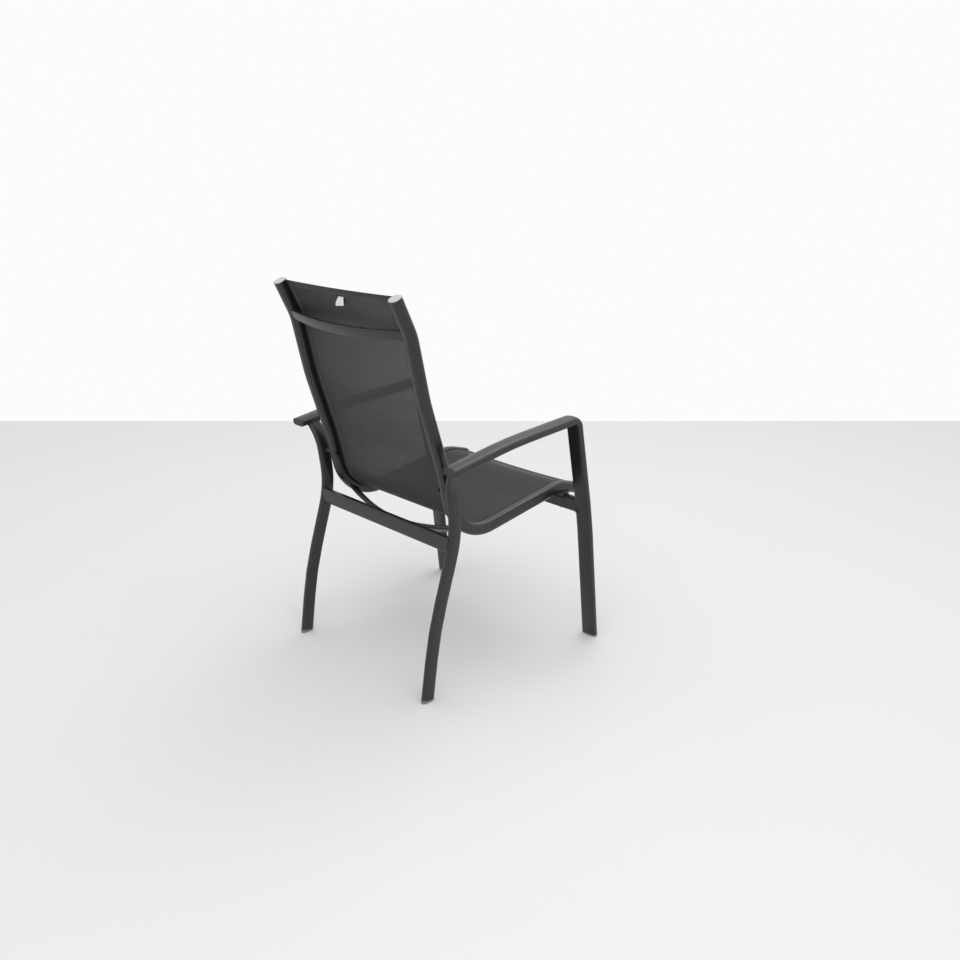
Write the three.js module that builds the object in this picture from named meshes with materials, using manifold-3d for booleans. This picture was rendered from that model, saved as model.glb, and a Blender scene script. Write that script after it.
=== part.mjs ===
// High-backed sling chair for a patio, in millimetres.
// X runs across the chair (positive to the sitter's left), the sitter faces -Y, and +Z is up.
// Two bent side rails hold one sheet of mesh fabric in their grooves. The rails hang between
// bent-tube arms and legs, which two crossbars tie together.

import * as THREE from "three";
import { mergeVertices } from "three/addons/utils/BufferGeometryUtils.js";
import Module from "manifold-3d";

const wasm = await Module();
wasm.setup();

// Fits
const seatGap = 0.3;
const cutOverrun = 6;
const placeTolerance = 0.003;

// Side rails: an oval extrusion with a groove that holds the fabric
const railSpacing = 480;
const railWidth = 32;
const railDepth = 33;
const railWall = 1.8;
const railSquareness = 2.5;
const grooveRise = 10.5;
const grooveMouth = 3;
const grooveLip = 2.2;
const grooveBore = 7;
const grooveWeb = 1.3;
const splineBore = 4.6;

// Route of a side rail, bent from its front end back and up to its top end.
// Places along Y start from the rail's front end, and its height from the front crossbar's top.
const railAboveCrossbar = 1.1;
const frontRiseDegrees = 15.9;
const frontRun = 53;
const frontBendRadius = 118;
const seatFallDegrees = 9.4;
const seatRun = 256.4;
const lapBendRadius = 127;
const lumbarDegrees = 76.4;
const lumbarRun = 96.7;
const lumbarBendRadius = 300;
const backDegrees = 72.5;
const backRun = 155;
const shoulderBendRadius = 450;
const shoulderDegrees = 77.7;
const shoulderRun = 131;
const headBendRadius = 150;
const headDegrees = 64.6;
const headRun = 85;

// Arm and front leg: one flat-oval tube, bent from the front foot up and back to the arm's end
const armBesideRearLeg = 47.5;
const armWidth = 50;
const armThickness = 21;
const armWall = 1.6;
const armSquareness = 4.5;
const frontFootBehindRail = 16;
const frontLegDegrees = 83.4;
const frontLegRun = 345;
const frontLegBendRadius = 1200;
const frontKneeDegrees = 78.9;
const frontKneeRun = 236;
const noseBendRadius = 22;
const armFrontFallDegrees = 4.3;
const armFrontRun = 181;
const armBendRadius = 1200;
const armRearFallDegrees = 9.3;
const armRearPastLeg = 37.0379;

// Rear leg: a flat-oval tube that splays out at its top to meet the arm.
// It reaches up to the arm, and stands where its straight thigh passes the bolt.
const rearLegBesideRail = 38;
const rearLegDepth = 38;
const rearLegThickness = 18;
const rearLegWall = 1.6;
const rearLegSquareness = 3;
const rearLegTopBelowArmBend = 17.5629;
const rearLegBehindBolt = 7.7185;
const rearFootDegrees = 98.4;
const rearFootRun = 112;
const rearShinBendRadius = 1000;
const rearShinDegrees = 107.6;
const rearKneeBendRadius = 292;
const rearThighDegrees = 82.6;
const rearThighRun = 46;
const splayBendRadius = 105;
const splayDegrees = 40;
const splayRun = 26;

// Crossbars between the legs
const crossbarHeight = 42;
const crossbarThickness = 18;
const crossbarWall = 1.6;
const crossbarSquareness = 5;
const crossbarCope = 4;
const frontCrossbarUnderside = 398;
const rearCrossbarDrop = 2;

// Braces that hold the rails apart, bowed away from the sitter
const braceHeight = 27;
const braceThickness = 13;
const braceWall = 1.5;
const braceSquareness = 4;
const braceWeb = 8;
const bracePinBore = 5;
const bracePinInBrace = 14;
const bracePinInRail = 9;
const braceSetBack = 6.6;
const backBraceFromTop = 94;
const backBraceBow = 27.4;
const seatRearBraceFromFront = 462;
const seatRearBraceBow = 43;
const seatFrontBraceBehindCrossbar = 80.6333;
const seatFrontBraceBow = 16;

// Fabric
const fabricThickness = 1.2;
const fabricSag = 5;
const lapTautness = 120;

// Plastic caps, plugs and feet
const capFlange = 3;
const capProud = 0.5;
const capPlugDepth = 16;
const plugClearance = 0.3;
const plugWall = 1.6;
const glideHeight = 7;
const glidePlugDepth = 18;

// Bolts that hold the rails to the rear legs
const boltBelowSplay = 2.9161;
const boltBore = 6;
const boltHeadBore = 13;
const boltHeadHeight = 4.5;
const boltSocketBore = 5;
const boltSocketDepth = 2.4;
const boltBehindRail = 8;
const spacerBore = 14;
const nutBore = 9;
const nutFlangeBore = 12.5;
const nutFlangeThickness = 1.2;
const nutDepth = 11;

// Saddles that carry the rails on the front crossbar, and their screws
const saddleWidth = 36;
const saddleWall = 4;
const saddleSkirt = 13;
const saddleGrip = 7;
const screwBore = 4;
const screwClearance = 1.2;
const screwHeadBore = 9;
const screwCrownBore = 6;
const screwHeadHeight = 2.6;
const screwEngagement = 5;

// Fineness of the facets
const bendStepDegrees = 12;
const tubeSides = 14;
const boreSides = 10;
const rodSides = 6;
const roundSides = 12;
const chamberSides = 6;
const fabricColumns = 8;
const braceSteps = 8;

const materials = {
  frame: { color: 0x3d3c3e, roughness: 0.55, metalness: 0.35 },
  fabric: { color: 0x4c4a47, roughness: 0.9, metalness: 0 },
  lightPlastic: { color: 0xb9bcb6, roughness: 0.6, metalness: 0 },
  darkPlastic: { color: 0x2b2b2c, roughness: 0.7, metalness: 0 },
  glide: { color: 0x8e918d, roughness: 0.6, metalness: 0 },
  zinc: { color: 0xb4b6b8, roughness: 0.35, metalness: 0.9 },
};

const angleStep = 1e-4;
const acrossAxis = new THREE.Vector3(1, 0, 0);

// A tube's centre line in straight runs and round bends, starting in the YZ plane.
// A bend turns towards the line's left, seen from +X with Z up, or splays towards +X.
class BentLine extends THREE.Curve {
  constructor(start, headingDegrees, bends) {
    super();
    const heading = THREE.MathUtils.degToRad(headingDegrees);
    this.start = new THREE.Vector3(0, start[0], start[1]);
    this.tangent = new THREE.Vector3(0, Math.cos(heading), Math.sin(heading));
    this.normal = new THREE.Vector3(0, -Math.sin(heading), Math.cos(heading));
    this.bends = bends;
    this.stations = [0];
    this.length = 0;
    for (const bend of bends) {
      const length = bendLength(bend);
      const pieces = Math.ceil(Math.abs(bend.turn ?? bend.splay ?? 0) / bendStepDegrees) || 1;
      for (let piece = 1; piece <= pieces; piece += 1) {
        this.stations.push(this.length + (length * piece) / pieces);
      }
      this.length += length;
    }
    this.steps = this.stations.length - 1;
  }

  // Position and axes at a distance along the line, which runs on straight past its ends
  frameAt(distance) {
    const point = this.start.clone();
    const tangent = this.tangent.clone();
    const normal = this.normal.clone();
    const across = acrossAxis.clone();
    let left = distance;
    if (left < 0) {
      return { point: point.addScaledVector(tangent, left), tangent, normal, across };
    }
    for (const bend of this.bends) {
      const length = bendLength(bend);
      const part = Math.min(left, length);
      if (bend.run !== undefined) {
        point.addScaledVector(tangent, part);
      } else {
        const towards = bend.splay === undefined ? normal : across;
        const sense = Math.sign(bend.splay ?? bend.turn);
        const angle = part / bend.radius;
        point.addScaledVector(tangent, bend.radius * Math.sin(angle));
        point.addScaledVector(towards, sense * bend.radius * (1 - Math.cos(angle)));
        const before = tangent.clone();
        tangent.multiplyScalar(Math.cos(angle)).addScaledVector(towards, sense * Math.sin(angle));
        towards.multiplyScalar(Math.cos(angle)).addScaledVector(before, -sense * Math.sin(angle));
      }
      left -= part;
    }
    point.addScaledVector(tangent, left);
    return { point, tangent, normal, across };
  }

  // Distance at which the line first passes a place along Y or Z, found by halving
  distanceAt(axis, place, from, to) {
    let low = from;
    let high = to;
    while (high - low > placeTolerance) {
      const middle = (low + high) / 2;
      if (this.frameAt(middle).point[axis] < place) low = middle;
      else high = middle;
    }
    return low;
  }

  getPointAt(share, target = new THREE.Vector3()) {
    return target.copy(this.frameAt(this.stations[Math.round(share * this.steps)]).point);
  }

  getTangentAt(share, target = new THREE.Vector3()) {
    return target.copy(this.frameAt(this.stations[Math.round(share * this.steps)]).tangent);
  }
}

function bendLength(bend) {
  if (bend.run !== undefined) return bend.run;
  return bend.radius * THREE.MathUtils.degToRad(Math.abs(bend.turn ?? bend.splay));
}

// The same line with only the stretch between two distances
function stretchOf(line, from, to) {
  const stretch = Object.create(line);
  const inner = line.stations.filter((station) => station > from + seatGap && station < to - seatGap);
  stretch.stations = [from, ...inner, to];
  stretch.steps = stretch.stations.length - 1;
  return stretch;
}

// Outlines

function ovalPoint(width, depth, squareness, angle) {
  const c = Math.cos(angle);
  const s = Math.sin(angle);
  return new THREE.Vector2(
    (width / 2) * Math.sign(c) * Math.abs(c) ** (2 / squareness),
    (depth / 2) * Math.sign(s) * Math.abs(s) ** (2 / squareness),
  );
}

function ovalOutline(width, depth, squareness, sides) {
  const points = [];
  for (let side = 0; side < sides; side += 1) {
    points.push(ovalPoint(width, depth, squareness, (2 * Math.PI * (side + 0.5)) / sides));
  }
  return points;
}

function ovalShape(width, depth, squareness, sides = tubeSides) {
  return new THREE.Shape(ovalOutline(width, depth, squareness, sides));
}

function tubeShape(width, depth, wall, squareness, sides = tubeSides) {
  const shape = ovalShape(width, depth, squareness, sides);
  shape.holes.push(new THREE.Path(ovalOutline(width - 2 * wall, depth - 2 * wall, squareness, boreSides)));
  return shape;
}

// Place of the groove's bore in the rail's section, with X towards the fabric
const grooveRiseShare = grooveRise / (railDepth / 2);
const widthShareAtGroove = (1 - grooveRiseShare ** railSquareness) ** (1 / railSquareness);
const railHalfWidthAtGroove = (railWidth / 2) * widthShareAtGroove;
const grooveReach = railHalfWidthAtGroove - grooveLip - grooveBore / 2;

function arcPoints(centre, radius, from, to, steps) {
  const points = [];
  for (let step = 0; step <= steps; step += 1) {
    const angle = from + ((to - from) * step) / steps;
    const spoke = new THREE.Vector2(radius * Math.cos(angle), radius * Math.sin(angle));
    points.push(spoke.add(centre));
  }
  return points;
}

// The rail's oval from one lip of the groove round to the other, grown by a gap
function railOval(gap) {
  const upperLip = Math.asin(((grooveRise + grooveMouth / 2) / (railDepth / 2)) ** (railSquareness / 2));
  const lowerLip = Math.asin(((grooveRise - grooveMouth / 2) / (railDepth / 2)) ** (railSquareness / 2));
  const points = [];
  for (let side = 0; side <= tubeSides; side += 1) {
    const angle = upperLip + ((lowerLip + 2 * Math.PI - upperLip) * side) / tubeSides;
    points.push(ovalPoint(railWidth + 2 * gap, railDepth + 2 * gap, railSquareness, angle));
  }
  return points;
}

function railOutline() {
  const mouth = Math.asin(grooveMouth / grooveBore);
  const centre = new THREE.Vector2(grooveReach, grooveRise);
  return railOval(0).concat(arcPoints(centre, grooveBore / 2, -mouth, mouth - 2 * Math.PI, rodSides));
}

// The rail's hollow: the inside of its oval, cut short by the wall round the groove
function railHollow(shrink) {
  const width = railWidth - 2 * (railWall + shrink);
  const depth = railDepth - 2 * (railWall + shrink);
  const keepOut = grooveBore / 2 + grooveWeb + shrink;
  const centre = new THREE.Vector2(grooveReach, grooveRise);
  const ovalAt = (angle) => ovalPoint(width, depth, railSquareness, angle);
  const meeting = (inside, outside) => {
    let [near, far] = [inside, outside];
    while (Math.abs(far - near) > angleStep) {
      const middle = (near + far) / 2;
      if (ovalAt(middle).distanceTo(centre) < keepOut) near = middle;
      else far = middle;
    }
    return far;
  };
  const level = Math.asin((2 * grooveRise / depth) ** (railSquareness / 2));
  const from = meeting(level, level + Math.PI / 2);
  const to = meeting(level + 2 * Math.PI, level + 3 * Math.PI / 2);
  const points = [];
  for (let side = 0; side <= tubeSides; side += 1) {
    points.push(ovalAt(from + ((to - from) * side) / tubeSides));
  }
  const start = points[tubeSides].clone().sub(centre).angle();
  const end = points[0].clone().sub(centre).angle();
  return points.concat(arcPoints(centre, keepOut, start, end, rodSides).slice(1, -1));
}

function railShape() {
  const shape = new THREE.Shape(railOutline());
  shape.holes.push(new THREE.Path(railHollow(0)));
  return shape;
}

// Solids

function sweep(shape, line, steps = line.steps) {
  return new THREE.ExtrudeGeometry(shape, { steps, extrudePath: line });
}

function toSolid(geometry) {
  const bare = geometry.clone();
  bare.deleteAttribute("normal");
  bare.deleteAttribute("uv");
  const merged = mergeVertices(bare);
  const solid = new wasm.Manifold(new wasm.Mesh({
    numProp: 3,
    vertProperties: new Float32Array(merged.attributes.position.array),
    triVerts: new Uint32Array(merged.index.array),
  }));
  if (solid.isEmpty()) throw new Error("a solid came out empty");
  return solid;
}

function toGeometry(solid) {
  const mesh = solid.getMesh();
  const geometry = new THREE.BufferGeometry();
  geometry.setAttribute("position", new THREE.BufferAttribute(new Float32Array(mesh.vertProperties), 3));
  geometry.setIndex(new THREE.BufferAttribute(new Uint32Array(mesh.triVerts), 1));
  geometry.computeVertexNormals();
  return geometry;
}

// Turns a shape's own axes (X, Y and the way it is extruded) into a frame of a bent line.
// X points away from +X of the chair, as it does in a sweep.
function setInFrame(geometry, frame) {
  const basis = new THREE.Matrix4().makeBasis(frame.across.clone().negate(), frame.normal, frame.tangent);
  return geometry.applyMatrix4(basis.setPosition(frame.point));
}

function plate(shape, from, to, frame) {
  const slab = new THREE.ExtrudeGeometry(shape, { depth: to - from, bevelEnabled: false });
  return setInFrame(slab.translate(0, 0, from), frame);
}

// A round bar between two distances along X
function barAcross(bore, from, to, y, z, sides = roundSides) {
  const bar = new THREE.CylinderGeometry(bore / 2, bore / 2, to - from, sides);
  return bar.rotateZ(-Math.PI / 2).translate((from + to) / 2, y, z);
}

function barUp(bore, x, y, from, to, sides = roundSides) {
  const bar = new THREE.CylinderGeometry(bore / 2, bore / 2, to - from, sides);
  return bar.rotateX(Math.PI / 2).translate(x, y, (from + to) / 2);
}

function block(from, to) {
  const size = new THREE.Vector3().subVectors(to, from);
  const centre = new THREE.Vector3().addVectors(from, to).multiplyScalar(0.5);
  return new THREE.BoxGeometry(size.x, size.y, size.z).translate(centre.x, centre.y, centre.z);
}

function mirrored(geometry) {
  const twin = geometry.index ? geometry.toNonIndexed() : geometry.clone();
  const positions = twin.attributes.position;
  for (let corner = 0; corner < positions.count; corner += 3) {
    const keep = new THREE.Vector3().fromBufferAttribute(positions, corner + 1);
    const swap = new THREE.Vector3().fromBufferAttribute(positions, corner + 2);
    positions.setXYZ(corner + 1, swap.x, swap.y, swap.z);
    positions.setXYZ(corner + 2, keep.x, keep.y, keep.z);
  }
  twin.scale(-1, 1, 1);
  twin.computeVertexNormals();
  return twin;
}

// Centre lines

const railFrontHeight = frontCrossbarUnderside + crossbarHeight + railAboveCrossbar;
const railLine = new BentLine([0, railFrontHeight], frontRiseDegrees, [
  { run: frontRun },
  { radius: frontBendRadius, turn: -(frontRiseDegrees + seatFallDegrees) },
  { run: seatRun },
  { radius: lapBendRadius, turn: seatFallDegrees + lumbarDegrees },
  { run: lumbarRun },
  { radius: lumbarBendRadius, turn: backDegrees - lumbarDegrees },
  { run: backRun },
  { radius: shoulderBendRadius, turn: shoulderDegrees - backDegrees },
  { run: shoulderRun },
  { radius: headBendRadius, turn: headDegrees - shoulderDegrees },
  { run: headRun },
]);

function armLineWith(rearRun) {
  return new BentLine([frontFootBehindRail, 0], frontLegDegrees, [
    { run: frontLegRun },
    { radius: frontLegBendRadius, turn: frontKneeDegrees - frontLegDegrees },
    { run: frontKneeRun },
    { radius: noseBendRadius, turn: -(frontKneeDegrees + armFrontFallDegrees) },
    { run: armFrontRun },
    { radius: armBendRadius, turn: armFrontFallDegrees - armRearFallDegrees },
    { run: rearRun },
  ]);
}

function rearLegLineWith(footY, shinRun) {
  return new BentLine([footY, 0], rearFootDegrees, [
    { run: rearFootRun },
    { radius: rearShinBendRadius, turn: rearShinDegrees - rearFootDegrees },
    { run: shinRun },
    { radius: rearKneeBendRadius, turn: rearThighDegrees - rearShinDegrees },
    { run: rearThighRun },
    { radius: splayBendRadius, splay: splayDegrees },
    { run: splayRun },
  ]);
}

function endOf(line) {
  return line.frameAt(line.length);
}

// The shin is as long as brings the leg's top up to the arm
const armBendEnd = endOf(armLineWith(0));
const shinRise = armBendEnd.point.z - rearLegTopBelowArmBend - endOf(rearLegLineWith(0, 0)).point.z;
const rearShinRun = shinRise / Math.sin(THREE.MathUtils.degToRad(rearShinDegrees));

// The bolt passes the leg just below its splay, and the rail at the same height
const legFromFoot = rearLegLineWith(0, rearShinRun);
const splayLength = bendLength({ radius: splayBendRadius, splay: splayDegrees }) + splayRun;
const boltFromFoot = legFromFoot.frameAt(legFromFoot.length - splayLength - boltBelowSplay).point;
const boltHeight = boltFromFoot.z;
const railToBolt = railLine.distanceAt("z", boltHeight, frontRun + seatRun, railLine.length);
const boltY = railLine.frameAt(railToBolt).point.y + boltBehindRail;
const rearLegLine = rearLegLineWith(boltY + rearLegBehindBolt - boltFromFoot.y, rearShinRun);

// The arm runs on past the leg's top
const armToLeg = (endOf(rearLegLine).point.y - armBendEnd.point.y) / armBendEnd.tangent.y;
const armLine = armLineWith(armToLeg + armRearPastLeg);

// Solid outer forms of the tubes, grown by the gap, which shape the ends of what meets them

function envelope(shape, line, x) {
  return toSolid(sweep(shape, line).translate(x, 0, 0));
}

function grownOval(width, depth, squareness) {
  return ovalShape(width + 2 * seatGap, depth + 2 * seatGap, squareness);
}

const railX = railSpacing / 2;
const rearLegX = railX + rearLegBesideRail;
const armX = rearLegX + armBesideRearLeg;
const railEnvelope = envelope(new THREE.Shape(railOval(seatGap)), railLine, railX);
const armEnvelope = envelope(grownOval(armWidth, armThickness, armSquareness), armLine, armX);
const rearLegOval = grownOval(rearLegThickness, rearLegDepth, rearLegSquareness);
const rearLegEnvelope = envelope(rearLegOval, rearLegLine, rearLegX);

function meetBothSides(solid, ...envelopes) {
  let met = solid;
  for (const each of envelopes) {
    met = met.subtract(each).subtract(toSolid(mirrored(toGeometry(each))));
  }
  return met;
}

// Where the crossbars cross the legs, and where the rail lies over the front one

const frontCrossbarMiddle = frontCrossbarUnderside + crossbarHeight / 2;
const legToCrossbar = armLine.distanceAt("z", frontCrossbarMiddle, 0, frontLegRun + frontKneeRun);
const frontCrossbarY = armLine.frameAt(legToCrossbar).point.y;
const railToCrossbar = railLine.distanceAt("y", frontCrossbarY, 0, frontRun + seatRun);
const railHeightAtCrossbar = railLine.frameAt(railToCrossbar).point.z;
const rearCrossbarMiddle = frontCrossbarMiddle - rearCrossbarDrop;
const rearLegToCrossbar = rearLegLine.distanceAt("z", rearCrossbarMiddle, 0, rearLegLine.length);
const rearLegYAtCrossbar = rearLegLine.frameAt(rearLegToCrossbar).point.y;
const rearCrossbarY = rearLegYAtCrossbar + (rearLegDepth - crossbarThickness) / 2;

// Faces of legs and rails along X

const legInnerFace = rearLegX - rearLegThickness / 2;
const railOuterFace = railX + railWidth / 2;
const railInnerFace = railX - railWidth / 2;

// Places of the braces along the rail

const seatFrontBraceFromFront = railToCrossbar + seatFrontBraceBehindCrossbar;
const braces = [
  { name: "back", distance: railLine.length - backBraceFromTop, bow: backBraceBow },
  { name: "seat_rear", distance: seatRearBraceFromFront, bow: seatRearBraceBow },
  { name: "seat_front", distance: seatFrontBraceFromFront, bow: seatFrontBraceBow },
];
for (const brace of braces) {
  brace.frame = railLine.frameAt(brace.distance);
  brace.centre = brace.frame.point.clone().addScaledVector(brace.frame.normal, -braceSetBack);
}

// Frame tubes

function armAndFrontLeg() {
  const tube = tubeShape(armWidth, armThickness, armWall, armSquareness);
  return sweep(tube, stretchOf(armLine, glideHeight, armLine.length)).translate(armX, 0, 0);
}

function rearLeg() {
  const tube = tubeShape(rearLegThickness, rearLegDepth, rearLegWall, rearLegSquareness);
  const line = stretchOf(rearLegLine, glideHeight, rearLegLine.length);
  const leg = toSolid(sweep(tube, line).translate(rearLegX, 0, 0));
  const nutHole = barAcross(nutBore + 2 * seatGap, legInnerFace - cutOverrun, rearLegX, boltY, boltHeight);
  return toGeometry(leg.subtract(armEnvelope).subtract(toSolid(nutHole)));
}

function barAlongX(shape, halfLength, y, z) {
  const bar = new THREE.ExtrudeGeometry(shape, { depth: 2 * halfLength, bevelEnabled: false });
  return bar.translate(0, 0, -halfLength).rotateX(Math.PI / 2).rotateZ(Math.PI / 2).translate(0, y, z);
}

function crossbar(halfLength, y, middle) {
  const shape = tubeShape(crossbarThickness, crossbarHeight, crossbarWall, crossbarSquareness);
  return barAlongX(shape, halfLength, y, middle);
}

function rearCrossbar() {
  const bar = toSolid(crossbar(legInnerFace + crossbarCope, rearCrossbarY, rearCrossbarMiddle));
  return toGeometry(meetBothSides(bar, rearLegEnvelope));
}

function frontCrossbar() {
  let bar = toSolid(crossbar(armX - armWidth / 2 + crossbarCope, frontCrossbarY, frontCrossbarMiddle));
  for (const side of [-1, 1]) {
    const hole = barUp(screwBore + screwClearance, side * railX, frontCrossbarY,
      frontCrossbarUnderside - cutOverrun, frontCrossbarUnderside + crossbarHeight + cutOverrun, rodSides);
    bar = bar.subtract(toSolid(hole));
  }
  return toGeometry(meetBothSides(bar, armEnvelope));
}

// Sling rails, with holes for the bolt, the saddle screw and the brace pins

function slingRail() {
  let rail = toSolid(sweep(railShape(), railLine).translate(railX, 0, 0));
  const boltHole = barAcross(boltBore + 2 * seatGap, railInnerFace - cutOverrun, railOuterFace + cutOverrun,
    boltY, boltHeight, boreSides);
  rail = rail.subtract(toSolid(boltHole));
  const saddleHole = barUp(screwBore + screwClearance, railX, frontCrossbarY,
    railHeightAtCrossbar - railDepth / 2 - cutOverrun, railHeightAtCrossbar, rodSides);
  rail = rail.subtract(toSolid(saddleHole));
  for (const brace of braces) {
    const pinHole = barAcross(bracePinBore + 2 * seatGap, railInnerFace - cutOverrun, railX,
      brace.centre.y, brace.centre.z, rodSides);
    rail = rail.subtract(toSolid(pinHole));
  }
  return toGeometry(rail);
}

function splineRod() {
  const shape = new THREE.Shape(arcPoints(new THREE.Vector2(grooveReach, grooveRise), splineBore / 2, 0,
    2 * Math.PI, rodSides).slice(1));
  return sweep(shape, railLine).translate(railX, 0, 0);
}

// Braces: bowed bars with two chambers and a web between, shaped to the rails at both ends

class BowedLine extends THREE.Curve {
  constructor(brace) {
    super();
    this.brace = brace;
  }

  getPointAt(share, target = new THREE.Vector3()) {
    const x = railX * (2 * share - 1);
    const bow = this.brace.bow * (1 - (x / railX) ** 2);
    return target.copy(this.brace.centre).addScaledVector(this.brace.frame.normal, -bow).setX(x);
  }

  getTangentAt(share, target = new THREE.Vector3()) {
    const x = railX * (2 * share - 1);
    const slope = (2 * this.brace.bow * x) / railX ** 2;
    return target.copy(acrossAxis).addScaledVector(this.brace.frame.normal, slope).normalize();
  }

  // Keeps the section's height along the rails at every step
  computeFrenetFrames(steps) {
    const tangents = [];
    const normals = [];
    const binormals = [];
    for (let step = 0; step <= steps; step += 1) {
      tangents.push(this.getTangentAt(step / steps));
      normals.push(this.brace.frame.tangent.clone());
      binormals.push(new THREE.Vector3().crossVectors(tangents[step], normals[step]));
    }
    return { tangents, normals, binormals };
  }
}

function braceShape() {
  const shape = ovalShape(braceHeight, braceThickness, braceSquareness, roundSides);
  const inner = braceWeb / 2;
  const outer = braceHeight / 2 - braceWall;
  for (const side of [-1, 1]) {
    const depth = braceThickness - 2 * braceWall;
    const chamber = ovalOutline(outer - inner, depth, braceSquareness, chamberSides);
    const middle = (side * (inner + outer)) / 2;
    shape.holes.push(new THREE.Path(chamber.map((point) => point.setX(point.x + middle))));
  }
  return shape;
}

function braceBar(brace) {
  const bar = toSolid(sweep(braceShape(), new BowedLine(brace), braceSteps));
  const holeEnd = railInnerFace - bracePinInBrace - seatGap;
  let solid = meetBothSides(bar, railEnvelope);
  for (const side of [-1, 1]) {
    const [from, to] = [side * holeEnd, side * railX].sort((a, b) => a - b);
    const { y, z } = brace.centre;
    solid = solid.subtract(toSolid(barAcross(bracePinBore + 2 * seatGap, from, to, y, z, rodSides)));
  }
  return toGeometry(solid);
}

// A pin in the brace's end that stands in the rail's inner wall, where the tight fabric keeps it
function bracePin(brace) {
  const from = railInnerFace - bracePinInBrace;
  const to = railInnerFace + bracePinInRail;
  return barAcross(bracePinBore, from, to, brace.centre.y, brace.centre.z, rodSides);
}

// Fabric: one sheet bent along the rails' grooves, a little slack between them

function fabricSheet() {
  const halfWidth = railX - grooveReach - splineBore / 2 - seatGap;
  const sheet = new THREE.BoxGeometry(2 * halfWidth, 1, fabricThickness, fabricColumns, railLine.steps, 1);
  const positions = sheet.attributes.position;
  const frontBend = bendLength({ radius: frontBendRadius, turn: frontRiseDegrees + seatFallDegrees });
  const lapBend = bendLength({ radius: lapBendRadius, turn: seatFallDegrees + lumbarDegrees });
  const lapMiddle = frontRun + frontBend + seatRun + lapBend / 2;
  for (let index = 0; index < positions.count; index += 1) {
    const x = positions.getX(index);
    const station = Math.round((positions.getY(index) + 0.5) * railLine.steps);
    const distance = railLine.stations[station];
    const { point, normal } = railLine.frameAt(distance);
    const slack = 1 - Math.exp(-(((distance - lapMiddle) / lapTautness) ** 2));
    const sag = fabricSag * slack * (1 - (x / halfWidth) ** 2);
    point.addScaledVector(normal, grooveRise - sag + positions.getZ(index));
    positions.setXYZ(index, x, point.y, point.z);
  }
  return mirroredIfInsideOut(sheet);
}

function mirroredIfInsideOut(geometry) {
  const bare = geometry.toNonIndexed();
  const positions = bare.attributes.position;
  let volume = 0;
  const corners = [new THREE.Vector3(), new THREE.Vector3(), new THREE.Vector3()];
  for (let corner = 0; corner < positions.count; corner += 3) {
    corners.forEach((each, offset) => each.fromBufferAttribute(positions, corner + offset));
    volume += corners[0].dot(corners[1].clone().cross(corners[2]));
  }
  return volume < 0 ? mirrored(bare) : bare;
}

// Caps, plugs and feet

function cap(line, distance, outward, flangeShape, plugShape) {
  const frame = line.frameAt(distance);
  const inner = outward * seatGap;
  const outer = outward * (seatGap + capFlange);
  const flange = plate(flangeShape, Math.min(inner, outer), Math.max(inner, outer), frame);
  const depth = -outward * capPlugDepth;
  const rooted = outward * (seatGap + capFlange / 2);
  const plug = plate(plugShape, Math.min(rooted, depth), Math.max(rooted, depth), frame);
  return toSolid(flange).add(toSolid(plug));
}

function railCap(distance, outward) {
  const flange = ovalShape(railWidth + 2 * capProud, railDepth + 2 * capProud, railSquareness);
  const plug = new THREE.Shape(railHollow(plugClearance));
  return toGeometry(cap(railLine, distance, outward, flange, plug)).translate(railX, 0, 0);
}

function cupShape(width, depth, squareness, wall) {
  const outerWidth = width - 2 * (wall + plugClearance);
  const outerDepth = depth - 2 * (wall + plugClearance);
  return tubeShape(outerWidth, outerDepth, plugWall, squareness, boreSides);
}

function armEndPlug() {
  const flange = ovalShape(armWidth, armThickness, armSquareness);
  const cup = cupShape(armWidth, armThickness, armSquareness, armWall);
  return toGeometry(cap(armLine, armLine.length, 1, flange, cup)).translate(armX, 0, 0);
}

// A foot: a cup inside the tube's end and a flange cut level with the floor
function glide(line, width, depth, wall, squareness, x) {
  const frame = line.frameAt(0);
  const flangeShape = ovalShape(width, depth, squareness);
  const plugShape = cupShape(width, depth, squareness, wall);
  const flange = toSolid(plate(flangeShape, -glideHeight, glideHeight - seatGap, frame));
  const cup = toSolid(plate(plugShape, glideHeight / 2, glideHeight + glidePlugDepth, frame));
  const reach = new THREE.Vector3(width + depth, width + depth, 2 * glideHeight);
  const below = block(new THREE.Vector3(frame.point.x - reach.x, frame.point.y - reach.y, -reach.z),
    new THREE.Vector3(frame.point.x + reach.x, frame.point.y + reach.y, 0));
  return toGeometry(flange.add(cup).subtract(toSolid(below))).translate(x, 0, 0);
}

// Hardware

function latheAcross(profile, y, z) {
  const points = profile.map(([radius, x]) => new THREE.Vector2(radius, x));
  return new THREE.LatheGeometry(points, roundSides).rotateZ(-Math.PI / 2).translate(0, y, z);
}

function frameBolt() {
  const tip = legInnerFace + nutDepth;
  const seat = railInnerFace - seatGap;
  const top = seat - boltHeadHeight;
  const shoulder = boltHeadBore / 2;
  return latheAcross([
    [0, top + boltSocketDepth], [boltSocketBore / 2, top + boltSocketDepth], [boltSocketBore / 2, top],
    [shoulder * Math.SQRT1_2, top], [shoulder, seat - boltHeadHeight / 2], [shoulder, seat],
    [boltBore / 2, seat], [boltBore / 2, tip], [0, tip],
  ], boltY, boltHeight);
}

function rivetNut() {
  const face = legInnerFace - nutFlangeThickness;
  const bore = boltBore / 2 + seatGap;
  const nut = toSolid(latheAcross([
    [bore, face], [nutFlangeBore / 2, face], [nutFlangeBore / 2, legInnerFace], [nutBore / 2, legInnerFace],
    [nutBore / 2, face + nutDepth], [bore, face + nutDepth], [bore, face],
  ], boltY, boltHeight));
  return toGeometry(nut);
}

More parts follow.
